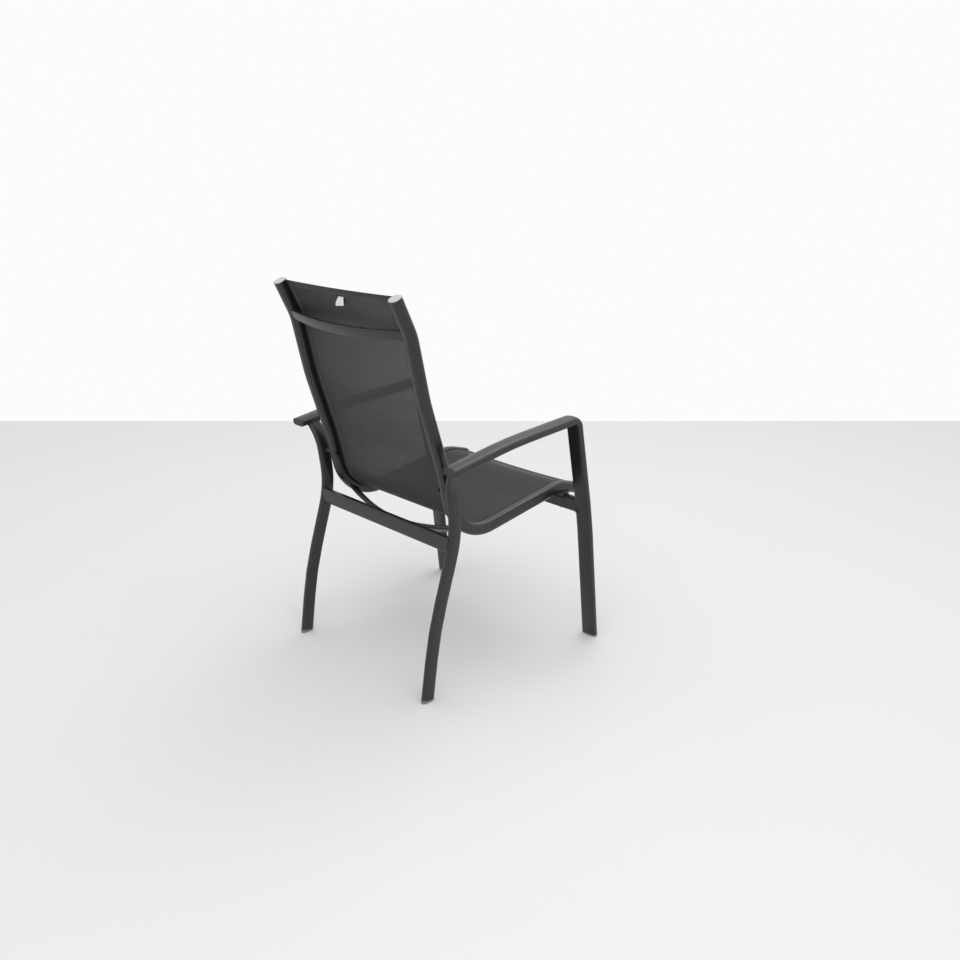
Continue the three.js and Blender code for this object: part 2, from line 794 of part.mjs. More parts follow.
function frameSpacer() {
  const from = railOuterFace + seatGap;
  const to = legInnerFace - nutFlangeThickness - seatGap;
  const bore = boltBore / 2 + seatGap;
  return latheAcross([
    [bore, from], [spacerBore / 2, from], [spacerBore / 2, to], [bore, to], [bore, from],
  ], boltY, boltHeight);
}

function railSaddle() {
  const top = railHeightAtCrossbar - railDepth / 2 + saddleGrip;
  const bottom = frontCrossbarUnderside + crossbarHeight - saddleSkirt;
  const halfDepth = crossbarThickness / 2 + saddleWall;
  const body = block(new THREE.Vector3(railX - saddleWidth / 2, frontCrossbarY - halfDepth, bottom),
    new THREE.Vector3(railX + saddleWidth / 2, frontCrossbarY + halfDepth, top));
  const barShape = grownOval(crossbarThickness, crossbarHeight, crossbarSquareness);
  const bar = barAlongX(barShape, armX, frontCrossbarY, frontCrossbarMiddle);
  const hole = barUp(screwBore + screwClearance, railX, frontCrossbarY,
    bottom - cutOverrun, top + cutOverrun, rodSides);
  return toGeometry(toSolid(body).subtract(railEnvelope).subtract(toSolid(bar)).subtract(toSolid(hole)));
}

function saddleScrew() {
  const under = frontCrossbarUnderside - seatGap;
  const tip = railHeightAtCrossbar - railDepth / 2 + screwEngagement;
  const profile = [
    [0, under - screwHeadHeight], [screwCrownBore / 2, under - screwHeadHeight],
    [screwHeadBore / 2, under - screwHeadHeight / 2], [screwHeadBore / 2, under],
    [screwBore / 2, under], [screwBore / 2, tip], [0, tip],
  ].map(([radius, height]) => new THREE.Vector2(radius, height));
  const screw = new THREE.LatheGeometry(profile, roundSides);
  return screw.rotateX(Math.PI / 2).translate(railX, frontCrossbarY, 0);
}

// The chair

const chair = new THREE.Group();

function addPiece(name, geometry, finish) {
  const mesh = new THREE.Mesh(geometry, new THREE.MeshStandardMaterial(materials[finish]));
  mesh.name = name;
  chair.add(mesh);
}

// A piece of the sitter's left side and its mirror image on the right
function addPair(name, geometry, finish) {
  addPiece(`${name}_left`, geometry, finish);
  addPiece(`${name}_right`, mirrored(geometry), finish);
}

addPair("arm_and_front_leg", armAndFrontLeg(), "frame");
addPair("rear_leg", rearLeg(), "frame");
addPiece("rear_crossbar", rearCrossbar(), "frame");
addPiece("front_crossbar", frontCrossbar(), "frame");
addPair("sling_rail", slingRail(), "frame");
addPair("spline_rod", splineRod(), "darkPlastic");
addPiece("sling_fabric", fabricSheet(), "fabric");
for (const brace of braces) {
  addPiece(`${brace.name}_brace`, braceBar(brace), "frame");
  addPair(`${brace.name}_brace_pin`, bracePin(brace), "zinc");
}
addPair("rail_top_cap", railCap(railLine.length, 1), "lightPlastic");
addPair("rail_front_cap", railCap(0, -1), "lightPlastic");
addPair("arm_end_plug", armEndPlug(), "darkPlastic");
addPair("front_glide", glide(armLine, armWidth, armThickness, armWall, armSquareness, armX), "glide");
addPair("rear_glide", glide(
  rearLegLine, rearLegThickness, rearLegDepth, rearLegWall, rearLegSquareness, rearLegX,
), "glide");
addPair("frame_bolt", frameBolt(), "zinc");
addPair("rivet_nut", rivetNut(), "zinc");
addPair("frame_spacer", frameSpacer(), "darkPlastic");
addPair("rail_saddle", railSaddle(), "darkPlastic");
addPair("saddle_screw", saddleScrew(), "zinc");

// The origin lies on the floor under the middle of the chair
const bounds = new THREE.Box3().setFromObject(chair);
chair.position.y = -bounds.getCenter(new THREE.Vector3()).y;

export default chair;
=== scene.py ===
import math

import bpy
import numpy as np
from bpy.props import FloatProperty, FloatVectorProperty, IntProperty, PointerProperty
from mathutils import Matrix, Vector


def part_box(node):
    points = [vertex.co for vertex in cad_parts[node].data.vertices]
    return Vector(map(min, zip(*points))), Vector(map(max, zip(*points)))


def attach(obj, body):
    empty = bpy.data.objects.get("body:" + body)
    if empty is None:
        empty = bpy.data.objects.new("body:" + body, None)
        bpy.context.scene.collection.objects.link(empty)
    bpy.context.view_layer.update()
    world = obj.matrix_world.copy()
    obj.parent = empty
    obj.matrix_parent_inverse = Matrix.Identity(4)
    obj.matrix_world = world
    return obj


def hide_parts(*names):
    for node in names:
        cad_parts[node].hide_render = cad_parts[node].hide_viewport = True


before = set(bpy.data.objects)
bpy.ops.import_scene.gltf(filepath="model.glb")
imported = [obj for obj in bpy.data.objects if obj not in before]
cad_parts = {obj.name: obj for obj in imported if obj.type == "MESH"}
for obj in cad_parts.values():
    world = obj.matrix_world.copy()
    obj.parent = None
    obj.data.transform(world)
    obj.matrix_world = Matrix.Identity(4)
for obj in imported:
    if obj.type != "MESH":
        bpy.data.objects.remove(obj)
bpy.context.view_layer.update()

bl_info = {
    "name": "Sling Patio Chair",
    "version": (1, 0, 0),
    "blender": (4, 5, 0),
    "location": "3D View > Sidebar > Sling Chair",
    "description": "Dresses the frame of a high-backed sling chair with tubes, mesh fabric and fittings",
    "category": "Object",
}

MM = 0.001
SIDES = ("left", "right")
ACROSS = Vector((1.0, 0.0, 0.0))
BACK = Vector((0.0, 1.0, 0.0))
UP = Vector((0.0, 0.0, 1.0))
GAP = 0.0003

# Moves the tubes' lines back, so that the middle of the chair lies over the origin
MIDDLE_SHIFT = BACK * 0.0003


class Tube:
    """A bent tube: its place across the chair, the squareness of its section and its centre line.

    The line has straight runs and round turns, in millimetres and degrees. A turn bends in the
    plane of the chair's side, up and back where it is positive, and a splay bends outwards.
    The line starts at a reach and a height, and runs straight on past its ends.
    """

    def __init__(self, x, squareness, start, heading, bends):
        angle = math.radians(heading)
        self.x = x
        self.squareness = squareness
        self.start = Vector((0.0, start[0], start[1])) * MM + MIDDLE_SHIFT
        self.tangent = Vector((0.0, math.cos(angle), math.sin(angle)))
        self.normal = Vector((0.0, -math.sin(angle), math.cos(angle)))
        self.bends = []
        for kind, size, *degrees in bends:
            turn = math.radians(degrees[0]) if degrees else 0.0
            length = size * MM * abs(turn) if degrees else size * MM
            self.bends.append((kind, size * MM, turn, length))
        self.length = self.reach(len(self.bends))

    def reach(self, count):
        """Length of the line's first runs and turns."""
        return sum(bend[3] for bend in self.bends[:count])

    def frame_at(self, distance):
        """Point, tangent, normal and across axis at a distance along the line."""
        point = self.start.copy()
        tangent = self.tangent.copy()
        normal = self.normal.copy()
        across = ACROSS.copy()
        left = distance
        if left < 0.0:
            return point + tangent * left, tangent, normal, across
        for kind, size, turn, length in self.bends:
            part = min(left, length)
            if kind == "run":
                point += tangent * part
            else:
                towards = normal if kind == "turn" else across
                sense = math.copysign(1.0, turn)
                angle = part / size
                point += tangent * (size * math.sin(angle))
                point += towards * (sense * size * (1.0 - math.cos(angle)))
                before = tangent.copy()
                tangent = before * math.cos(angle) + towards * (sense * math.sin(angle))
                turned = towards * math.cos(angle) - before * (sense * math.sin(angle))
                if kind == "turn":
                    normal = turned
                else:
                    across = turned
            left -= part
        return point + tangent * left, tangent, normal, across

    def distance_at_height(self, height, low, high):
        """Distance at which the line first passes a height, found by halving."""
        for _ in range(40):
            middle = (low + high) / 2.0
            if self.frame_at(middle)[0].z < height:
                low = middle
            else:
                high = middle
        return low


RAIL_X = 0.240
ARM_X = 0.3255
REAR_LEG_X = 0.278
RAIL = Tube(RAIL_X, 2.5, (-335.0, 441.1), 15.9, [
    ("run", 53.0), ("turn", 118.0, -25.3), ("run", 256.4), ("turn", 127.0, 85.8),
    ("run", 96.7), ("turn", 300.0, -3.9), ("run", 155.0), ("turn", 450.0, 5.2),
    ("run", 131.0), ("turn", 150.0, -13.1), ("run", 85.0),
])
ARM = Tube(ARM_X, (2.4, 4.2), (-319.0, 0.0), 83.4, [
    ("run", 345.0), ("turn", 1200.0, -4.5), ("run", 236.0), ("turn", 22.0, -83.2),
    ("run", 181.0), ("turn", 1200.0, -5.0), ("run", 152.0),
])
REAR_LEG = Tube(REAR_LEG_X, 3.0, (285.1, 0.0), 98.4, [
    ("run", 112.0), ("turn", 1000.0, 9.2), ("run", 122.0), ("turn", 292.0, -25.0),
    ("run", 46.0), ("splay", 105.0, 40.0), ("run", 26.0),
])
RAIL_HALF_WIDTH = 0.016
LAP_START = RAIL.reach(3)
LAP_MIDDLE = LAP_START + RAIL.bends[3][3] / 2.0
NOSE = ARM.reach(3)

CROSSBAR_SQUARENESS = 5.0
CROSSBAR_MIDDLES = {"rear": 0.417, "front": 0.419}
REAR_CROSSBAR_BEHIND = 0.010

BRACE_SIZE = (0.027, 0.013)
BRACE_SQUARENESS = 4.0
BRACE_SET_BACK = 0.0066
BRACES = (
    ("back", RAIL.length - 0.094, 0.0274),
    ("seat_rear", 0.462, 0.043),
    ("seat_front", 0.150, 0.016),
)


# Settings

def metres(name, description, default, low, high):
    return FloatProperty(name=name, description=description, default=default, min=low, max=high,
                         unit="LENGTH")


def tint(name, description, default):
    return FloatVectorProperty(name=name, description=description, default=default, min=0.0, max=1.0,
                               size=3, subtype="COLOR")


class SlingChairTubeSettings(bpy.types.PropertyGroup):
    """Sections and colour of the aluminium tubes."""

    arm_width: metres("Arm Width", "Width of the flat-oval arm tube", 0.050, 0.03, 0.08)
    arm_thickness: metres("Arm Thickness", "Thickness of the flat-oval arm tube", 0.0225, 0.012, 0.04)
    leg_depth: metres("Rear Leg Depth", "Depth of the rear leg tube, front to back", 0.038, 0.02, 0.06)
    leg_thickness: metres("Rear Leg Thickness", "Thickness of the rear leg tube", 0.018, 0.012, 0.03)
    crossbar_height: metres("Crossbar Height", "Height of the two crossbars", 0.042, 0.02, 0.06)
    crossbar_thickness: metres("Crossbar Thickness", "Thickness of the crossbars", 0.018, 0.012, 0.03)
    rail_width: metres("Rail Width", "Width of the side rails' extrusion", 0.032, 0.02, 0.05)
    rail_depth: metres("Rail Depth", "Depth of the side rails' extrusion", 0.033, 0.02, 0.05)
    weld_size: metres("Weld Size", "How far a weld bead stands out of its corner", 0.0022, 0.001, 0.005)
    coat: tint("Powder Coat", "Colour of the powder coat on the tubes", (0.010, 0.010, 0.0105))

    def arm(self, grow=0.0):
        return self.arm_width + grow, self.arm_thickness + grow

    def leg(self, grow=0.0):
        return self.leg_thickness + grow, self.leg_depth + grow

    def crossbar(self, grow=0.0):
        return self.crossbar_thickness + grow, self.crossbar_height + grow

    def rail(self, grow=0.0):
        return self.rail_width + grow, self.rail_depth + grow


class SlingChairSlingSettings(bpy.types.PropertyGroup):
    """Sizes and colours of the mesh sling."""

    mesh_thickness: metres("Mesh Thickness", "Thickness of the open mesh", 0.0003, 0.0001, 0.003)
    hem_thickness: metres("Hem Thickness", "Thickness of the cloth turned over at the hems",
                          0.0011, 0.0005, 0.003)
    sag: metres("Sag", "How far the cloth hangs between the rails", 0.005, 0.0, 0.03)
    side_hem: metres("Side Hem", "Width of the doubled cloth along each rail", 0.026, 0.01, 0.05)
    end_hem: metres("End Hem", "Width of the turned-over top hem", 0.015, 0.01, 0.05)
    front_hem: metres("Front Hem", "Width of the turned-over front hem", 0.026, 0.01, 0.05)
    stitch_pitch: metres("Stitch Pitch", "Distance from stitch to stitch", 0.0042, 0.002, 0.01)
    yarn_pitch: metres("Yarn Pitch", "Distance from yarn to yarn in the weave", 0.0015, 0.0008, 0.004)
    yarn: tint("Yarn", "Main colour of the coated yarn", (0.050, 0.049, 0.048))
    fleck: tint("Fleck", "Colour of the lighter yarns in the weave", (0.074, 0.072, 0.070))
    thread: tint("Thread", "Colour of the sewing thread", (0.150, 0.148, 0.145))


class SlingChairFittingSettings(bpy.types.PropertyGroup):
    """Sizes and colours of the plastic and steel fittings."""

    cap_thickness: metres("Cap Thickness", "Thickness of the caps and plugs on the tube ends",
                          0.003, 0.001, 0.01)
    glide_height: metres("Glide Height", "Height of the plastic feet", 0.007, 0.003, 0.02)
    cap_plastic: tint("Cap Plastic", "Colour of the rail caps", (0.53, 0.54, 0.525))
    dark_plastic: tint("Dark Plastic", "Colour of the plugs, spacers and saddles", (0.014, 0.014, 0.015))
    glide_plastic: tint("Glide Plastic", "Colour of the feet", (0.20, 0.20, 0.195))
    label: tint("Label", "Colour of the blank cloth tab on the top hem", (0.73, 0.73, 0.72))


class SlingChairStageSettings(bpy.types.PropertyGroup):
    """Floor, light, camera and fineness."""

    floor: tint("Floor", "Colour of the floor", (0.80, 0.79, 0.775))
    ambient: FloatProperty(
        name="Ambient Light", description="Strength of the even light from all round",
        default=0.88, min=0.0, max=3.0)
    key: FloatProperty(
        name="Key Light", description="Power that the two lights above share out",
        default=34.0, min=0.0, max=1000.0, unit="POWER")
    lens: FloatProperty(
        name="Lens", description="Focal length of the camera",
        default=0.03639, min=0.01, max=0.2, unit="CAMERA")
    bend_fineness: IntProperty(
        name="Bend Fineness", description="Degrees of bend that one ring of faces covers",
        default=5, min=1, max=15)


def settings(part):
    return getattr(bpy.context.scene, "sling_chair_" + part)


# Modelling by operators

def deselect():
    if bpy.context.object and bpy.context.object.mode != "OBJECT":
        leave_edit()
    bpy.ops.object.select_all(action="DESELECT")


def pick(obj):
    """Makes one object the only selected and active one."""
    deselect()
    obj.select_set(True)
    bpy.context.view_layer.objects.active = obj


def edit(obj):
    """Goes into edit mode on one object with all of its mesh selected."""
    pick(obj)
    bpy.ops.object.mode_set(mode="EDIT")
    bpy.ops.mesh.select_mode(type="VERT")
    bpy.ops.mesh.select_all(action="SELECT")


def leave_edit():
    bpy.ops.object.mode_set(mode="OBJECT")


def named(obj, name):
    obj.name = name
    obj.data.name = name
    return obj


def remove(obj):
    pick(obj)
    bpy.ops.object.delete()


def settle(obj):
    """Moves an object's place and turn into its mesh, so that it sits at the origin."""
    pick(obj)
    bpy.ops.object.transform_apply(location=True, rotation=True, scale=True)
    return obj


def select_faces(obj, wanted):
    """Selects the faces whose centre and normal pass a test, and goes into edit mode."""
    edit(obj)
    bpy.ops.mesh.select_mode(type="FACE")
    bpy.ops.mesh.select_all(action="DESELECT")
    leave_edit()
    found = 0
    for face in obj.data.polygons:
        face.select = bool(wanted(face.center, face.normal))
        found += face.select
    if not found:
        raise RuntimeError(obj.name + " has no face where one was looked for")
    bpy.ops.object.mode_set(mode="EDIT")


def inset_faces(obj, direction, *steps, both_ways=False):
    """Insets the faces that look in a direction, by steps of a rim's width and a depth."""
    def wanted(_, normal):
        along = normal.dot(direction)
        return (abs(along) if both_ways else along) > 0.9

    select_faces(obj, wanted)
    for thickness, depth in steps:
        bpy.ops.mesh.inset(thickness=thickness, depth=depth, use_individual=both_ways)
    leave_edit()


def section(name, size, squareness, points=48):
    """A flat face with a squared oval for its edge: the section that a tube is drawn out from.

    Two squarenesses are for the half towards the normal and for the other half.
    """
    halves = squareness if isinstance(squareness, tuple) else (squareness, squareness)
    deselect()
    bpy.ops.mesh.primitive_circle_add(vertices=points, radius=1.0, fill_type="NGON")
    obj = named(bpy.context.object, name)
    for vertex in obj.data.vertices:
        power = 2.0 / halves[0 if vertex.co.y > 0.0 else 1]
        for axis in (0, 1):
            share = round(vertex.co[axis], 6)
            vertex.co[axis] = math.copysign(abs(share) ** power, share) * size[axis] / 2.0
    return obj


def stand(obj, place, x=0.0):
    """Puts a section across a line: its X along the across axis, its Y along the normal."""
    point, _, normal, across = place
    turned = Matrix((across, normal, across.cross(normal))).transposed().to_4x4()
    turned.translation = point + ACROSS * x
    obj.matrix_world = turned
    return settle(obj)


def extrude(step):
    bpy.ops.mesh.extrude_region_move(TRANSFORM_OT_translate={"value": tuple(step)})


def spin(steps, angle, centre, axis):
    bpy.ops.mesh.spin(steps=steps, angle=angle, center=tuple(centre), axis=tuple(axis))


def draw_out(obj, tube, start, end):
    """Draws a section out along a tube's line between two distances, by extruding and spinning."""
    edit(obj)
    done = 0.0
    for kind, size, turn, long in tube.bends:
        begin = max(start, done)
        finish = min(end, done + long)
        done += long
        if finish - begin < 1e-6:
            continue
        point, tangent, normal, across = tube.frame_at(begin)
        if kind == "run":
            extrude(tangent * (finish - begin))
            continue
        towards = normal if kind == "turn" else across
        sense = math.copysign(1.0, turn)
        angle = (finish - begin) / size
        centre = point + ACROSS * tube.x + towards * (sense * size)
        steps = max(1, math.ceil(math.degrees(angle) / settings("stage").bend_fineness))
        spin(steps, -angle, centre, tangent.cross(towards) * sense)
    close_up(obj)
    return obj


def close_up(obj):
    """Merges doubles and turns all faces outwards."""
    edit(obj)
    bpy.ops.mesh.remove_doubles(threshold=1e-6)
    bpy.ops.mesh.normals_make_consistent(inside=False)
    leave_edit()


def oval_tube(name, size, tube, start, end):
    piece = section(name, size, tube.squareness)
    stand(piece, tube.frame_at(start), tube.x)
    return draw_out(piece, tube, start, end)


def straight_bar(name, size, half_length, place):
    """A flat-oval bar across the chair at a reach and a height, its section's height upright."""
    bar = section(name, size, CROSSBAR_SQUARENESS)
    stand(bar, (Vector((0.0, *place)), ACROSS, UP, BACK), -half_length)
    edit(bar)
    extrude(ACROSS * (2.0 * half_length))
    close_up(bar)
    return bar


def end_plate(name, size, tube, distance, inner, outer):
    """A plate across a tube's end, from one distance off the end to another."""
    plate = section(name, size, tube.squareness)
    point, tangent, normal, across = tube.frame_at(distance)
    stand(plate, (point + tangent * inner, tangent, normal, across), tube.x)
    edit(plate)
    extrude(tangent * (outer - inner))
    close_up(plate)
    return plate


def round_across(name, from_x, to_x, place, radius, sides=40):
    """A round bar across the chair between two places, at a reach and a height."""
    deselect()
    bpy.ops.mesh.primitive_cylinder_add(
        vertices=sides, radius=radius, depth=to_x - from_x, end_fill_type="NGON",
        location=((from_x + to_x) / 2.0, *place), rotation=(0.0, math.pi / 2.0, 0.0))
    return settle(named(bpy.context.object, name))


def apply_modifier(obj, kind, **values):
    """Adds a modifier with its values and applies it."""
    pick(obj)
    modifier = obj.modifiers.new(kind.title(), kind)
    for name, value in values.items():
        setattr(modifier, name, value)
    bpy.ops.object.modifier_apply(modifier=modifier.name)
    return obj


def cut(obj, tool, operation="DIFFERENCE"):
    """Cuts a piece with another one, which is used up."""
    apply_modifier(obj, "BOOLEAN", operation=operation, object=tool, solver="EXACT")
    remove(tool)


def bevel_edges(obj, width, segments=3, angle=50.0):
    return apply_modifier(obj, "BEVEL", width=width, segments=segments, limit_method="ANGLE",
                          angle_limit=math.radians(angle), harden_normals=False)


def smooth(obj, angle):
    pick(obj)
    bpy.ops.object.shade_smooth_by_angle(angle=math.radians(angle))
    return apply_modifier(obj, "WEIGHTED_NORMAL", keep_sharp=True, weight=60)


def mirrored_copy(obj, name):
    """A copy with its own mesh on the chair's other side."""
    pick(obj)
    bpy.ops.object.duplicate(linked=False)
    twin = named(bpy.context.object, name)
    edit(twin)
    bpy.ops.transform.resize(value=(-1.0, 1.0, 1.0), center_override=(0.0, 0.0, 0.0))
    bpy.ops.mesh.normals_make_consistent(inside=False)
    leave_edit()
    return twin


def rub(obj, measure):
    """Stores how much a piece is rubbed, from 0 to 1, all over or by a measure of each point."""
    attribute = obj.data.attributes.new("wear", "FLOAT", "POINT")
    values = [measure(vertex.co) if callable(measure) else measure for vertex in obj.data.vertices]
    attribute.data.foreach_set("value", [min(1.0, max(0.0, value)) for value in values])


def beside(place, other):
    """Distance between two places, seen from the chair's side."""
    return (Vector((0.0, place.y, place.z)) - other).length


def dress(obj, look, *nodes, angle=38.0):
    """Smooths a piece, gives it its finish and sets it on the chair in place of its plain solids."""
    smooth(obj, angle)
    give_finish(obj, look)
    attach(obj, "root")
    if nodes:
        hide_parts(*nodes)
    return obj


def dress_pair(left, look, stem, node_stem=None, angle=38.0):
    """Mirrors a left piece and dresses both."""
    right = mirrored_copy(left, stem + "_right")
    for side, obj in zip(SIDES, (left, right)):
        dress(obj, look, *([node_stem + "_" + side] if node_stem else []), angle=angle)


# Finishes

class Nodes:
    """Short hand for adding and linking nodes in one tree."""

    def __init__(self, tree):
        self.tree = tree
        self.shader = next((node for node in tree.nodes if node.type == "BSDF_PRINCIPLED"), None)

    def add(self, kind, **values):
        node = self.tree.nodes.new(kind)
        for name, value in values.items():
            setattr(node, name, value)
        return node

    def feed(self, socket, value):
        """Links another node's output to a socket, or sets the socket's own value."""
        if isinstance(value, bpy.types.NodeSocket):
            self.tree.links.new(value, socket)
        else:
            socket.default_value = value

    def fill(self, node, values):
        """Feeds a node's inputs by their names or places, and returns its outputs."""
        for name, value in values.items():
            self.feed(node.inputs[name], value)
        return node.outputs

    def math(self, operation, *values, clamp=False):
        node = self.add("ShaderNodeMath", operation=operation, use_clamp=clamp)
        return self.fill(node, dict(enumerate(values)))[0]

    def plus(self, first, second):
        return self.math("ADD", first, second)

    def times(self, first, second):
        return self.math("MULTIPLY", first, second)

    def ramp(self, value, low, high, to_low=0.0, to_high=1.0):
        node = self.add("ShaderNodeMapRange", clamp=True)
        return self.fill(node, dict(enumerate((value, low, high, to_low, to_high))))[0]

    def mix(self, share, first, second):
        node = self.add("ShaderNodeMix", data_type="RGBA", blend_type="MIX")
        return self.fill(node, {0: share, 6: first, 7: second})[2]

    def noise(self, vector, scale, detail=2.0, roughness=0.5):
        node = self.add("ShaderNodeTexNoise")
        values = {"Vector": vector, "Scale": scale, "Detail": detail, "Roughness": roughness}
        return self.fill(node, values)["Fac"]

    def split(self, vector):
        return self.fill(self.add("ShaderNodeSeparateXYZ"), {0: vector})

    def place(self):
        return self.add("ShaderNodeTexCoord").outputs["Object"]

    def effect(self, name, vector, **values):
        """Outputs of a shared effect, whose group is made the first time it is asked for."""
        group = bpy.data.node_groups.get(name) or EFFECTS[name]()
        named_values = {label.replace("_", " ").title(): value for label, value in values.items()}
        node = self.add("ShaderNodeGroup", node_tree=group)
        return self.fill(node, {"Vector": vector, **named_values})

    def rubbed(self, place):
        """The wear effect, from the piece's own wear attribute."""
        return self.effect("Rub Wear", place, wear=self.add("ShaderNodeAttribute",
                                                            attribute_name="wear").outputs["Fac"])

    def bump(self, height, strength, distance):
        node = self.add("ShaderNodeBump")
        values = {"Strength": strength, "Distance": distance, "Height": height}
        self.feed(self.shader.inputs["Normal"], self.fill(node, values)["Normal"])


def new_group(name, numbers, outputs):
    """An effect's group: a vector and named numbers go in, named values come out."""
    group = bpy.data.node_groups.new(name, "ShaderNodeTree")
    group.interface.new_socket(name="Vector", in_out="INPUT", socket_type="NodeSocketVector")
    for label, default in numbers.items():
        socket = group.interface.new_socket(name=label, in_out="INPUT", socket_type="NodeSocketFloat")
        socket.default_value = default
    for label in outputs:
        group.interface.new_socket(name=label, in_out="OUTPUT", socket_type="NodeSocketFloat")
    n = Nodes(group)
    return group, n, n.add("NodeGroupInput").outputs, n.add("NodeGroupOutput")


def coat_grain_group():
    """Orange peel, fine speckle and slow mottling of a sprayed or moulded surface."""
    numbers = {"Peel Scale": 420.0, "Speckle Scale": 1500.0}
    group, n, start, end = new_group("Coat Grain", numbers, ("Height", "Speckle", "Mottle"))
    peel = n.noise(start["Vector"], start["Peel Scale"], roughness=0.55)
    speckle = n.noise(start["Vector"], start["Speckle Scale"], detail=1.0)
    mottle = n.noise(start["Vector"], 9.0, detail=3.0, roughness=0.6)
    n.fill(end, {
        "Height": n.plus(n.times(peel, 0.7), n.times(speckle, 0.3)),
        "Speckle": n.ramp(speckle, 0.42, 0.62),
        "Mottle": n.ramp(mottle, 0.3, 0.7),
    })
    return group


def rub_wear_group():
    """Turns a piece's wear attribute into broken-up rubbed patches and small bare chips."""
    group, n, start, end = new_group("Rub Wear", {"Wear": 0.0}, ("Rubbed", "Bare"))
    broad = n.noise(start["Vector"], 60.0, detail=4.0, roughness=0.65)
    fine = n.noise(start["Vector"], 420.0, detail=3.0, roughness=0.6)
    soft = n.times(start["Wear"], n.ramp(broad, 0.38, 0.68))
    bare = n.ramp(n.plus(n.times(soft, 0.6), n.times(fine, 0.55)), 0.66, 0.72)
    n.fill(end, {"Rubbed": soft, "Bare": n.times(bare, n.ramp(start["Wear"], 0.25, 0.8))})
    return group


def dust_group():
    """Light dust that lies on faces turned upwards and gathers low on the chair."""
    group, n, start, end = new_group("Settled Dust", {"Up": 0.0}, ("Dust",))
    cloud = n.noise(start["Vector"], 26.0, detail=5.0, roughness=0.65)
    low = n.ramp(n.split(start["Vector"])["Z"], 0.0, 0.16, 1.0, 0.0)
    lying = n.ramp(start["Up"], 0.35, 1.0)
    both = n.plus(n.times(lying, 0.5), n.times(low, 0.6))
    n.fill(end, {"Dust": n.times(both, n.ramp(cloud, 0.35, 0.75))})
    return group


def sling_weave_group():
    """Plain weave of round coated yarns: height, the holes between them and the yarn on top."""
    numbers = {"Pitch": 0.0015, "Hole": 0.3}
    group, n, start, end = new_group("Sling Weave", numbers, ("Height", "Hole", "Weft", "Streak"))
    place = n.split(start["Vector"])
    across = n.math("DIVIDE", place["X"], start["Pitch"])
    along = n.math("DIVIDE", place["Y"], start["Pitch"])

    def bulge(value):
        offset = n.math("SUBTRACT", n.math("FRACT", value), 0.5)
        return n.math("SUBTRACT", 1.0, n.times(n.math("ABSOLUTE", offset), 2.0))

    def yarn_height(round_top, on_top):
        share = n.plus(0.55, n.times(on_top, 0.45))
        return n.times(n.math("POWER", round_top, 0.6), share)

    warp = bulge(across)
    weft = bulge(along)
    cells = n.plus(n.math("FLOOR", across), n.math("FLOOR", along))
    over = n.math("GREATER_THAN", n.math("FRACT", n.times(cells, 0.5)), 0.25)
    under = n.math("SUBTRACT", 1.0, over)
    lane = n.fill(n.add("ShaderNodeCombineXYZ"), {
        0: n.times(n.math("FLOOR", across), 0.37), 1: n.times(place["Y"], 2.0),
    })[0]
    n.fill(end, {
        "Height": n.math("MAXIMUM", yarn_height(warp, over), yarn_height(weft, under)),
        "Hole": n.math("LESS_THAN", n.math("MAXIMUM", warp, weft), start["Hole"]),
        "Weft": under,
        "Streak": n.ramp(n.noise(lane, 1.0, roughness=0.6), 0.3, 0.7),
    })
    return group


EFFECTS = {
    "Coat Grain": coat_grain_group, "Rub Wear": rub_wear_group,
    "Settled Dust": dust_group, "Sling Weave": sling_weave_group,
}


def grown(paint, factor=1.0):
    return tuple(min(1.0, each * factor) for each in paint) + (1.0,)


def powder_coat(n):
    """Charcoal powder coat: fine orange peel, slow mottling, rubbed edges and light dust."""
    coat = settings("tubes").coat
    bare_metal = (0.36, 0.36, 0.37, 1.0)
    pale_dust = (0.30, 0.28, 0.25, 1.0)
    place = n.place()
    grain = n.effect("Coat Grain", place)
    wear = n.rubbed(place)
    facing = n.split(n.add("ShaderNodeNewGeometry").outputs["Normal"])
    dust = n.effect("Settled Dust", place, up=facing["Z"])["Dust"]
    shade = n.mix(grain["Mottle"], grown(coat, 0.94), grown(coat, 1.07))
    shade = n.mix(n.times(grain["Speckle"], 0.35), shade, grown(coat, 1.35))
    shade = n.mix(n.times(wear["Rubbed"], 0.5), shade, grown(coat, 1.7))
    shade = n.mix(wear["Bare"], shade, bare_metal)
    shade = n.mix(n.times(dust, 0.07), shade, pale_dust)
    rough = n.plus(0.28, n.times(grain["Mottle"], 0.06))
    rough = n.plus(rough, n.times(dust, 0.25))
    rough = n.math("SUBTRACT", rough, n.times(wear["Rubbed"], 0.10), clamp=True)
    n.fill(n.shader, {
        "Base Color": shade, "Roughness": rough, "Specular IOR Level": 0.56,
        "Metallic": n.times(wear["Bare"], 0.8),
    })
    n.bump(grain["Height"], 0.35, 0.00025)


def coated_weld(n):
    """A coated weld bead: the powder coat's colour over close ripples, with painted highlights on the
    ripple crests and painted shade in the troughs.
    """
    coat = settings("tubes").coat
    place = n.place()
    grain = n.effect("Coat Grain", place, peel_scale=260.0)
    wave = n.fill(n.add("ShaderNodeTexWave", wave_type="BANDS", bands_direction="DIAGONAL"), {
        "Vector": place, "Scale": 190.0, "Distortion": 3.5, "Detail Scale": 2.0,
    })["Fac"]
    shade = n.mix(grain["Mottle"], grown(coat, 0.85), grown(coat, 1.05))
    # Painted highlight and shade: the colour follows the ripple height, lighter on the crests and darker
    # in the troughs
    n.fill(n.shader, {
        "Base Color": n.mix(wave, shade, grown(coat, 1.15)),
        "Roughness": n.ramp(grain["Speckle"], 0.0, 1.0, 0.42, 0.5),
    })
    n.bump(n.plus(wave, grain["Height"]), 0.7, 0.0006)


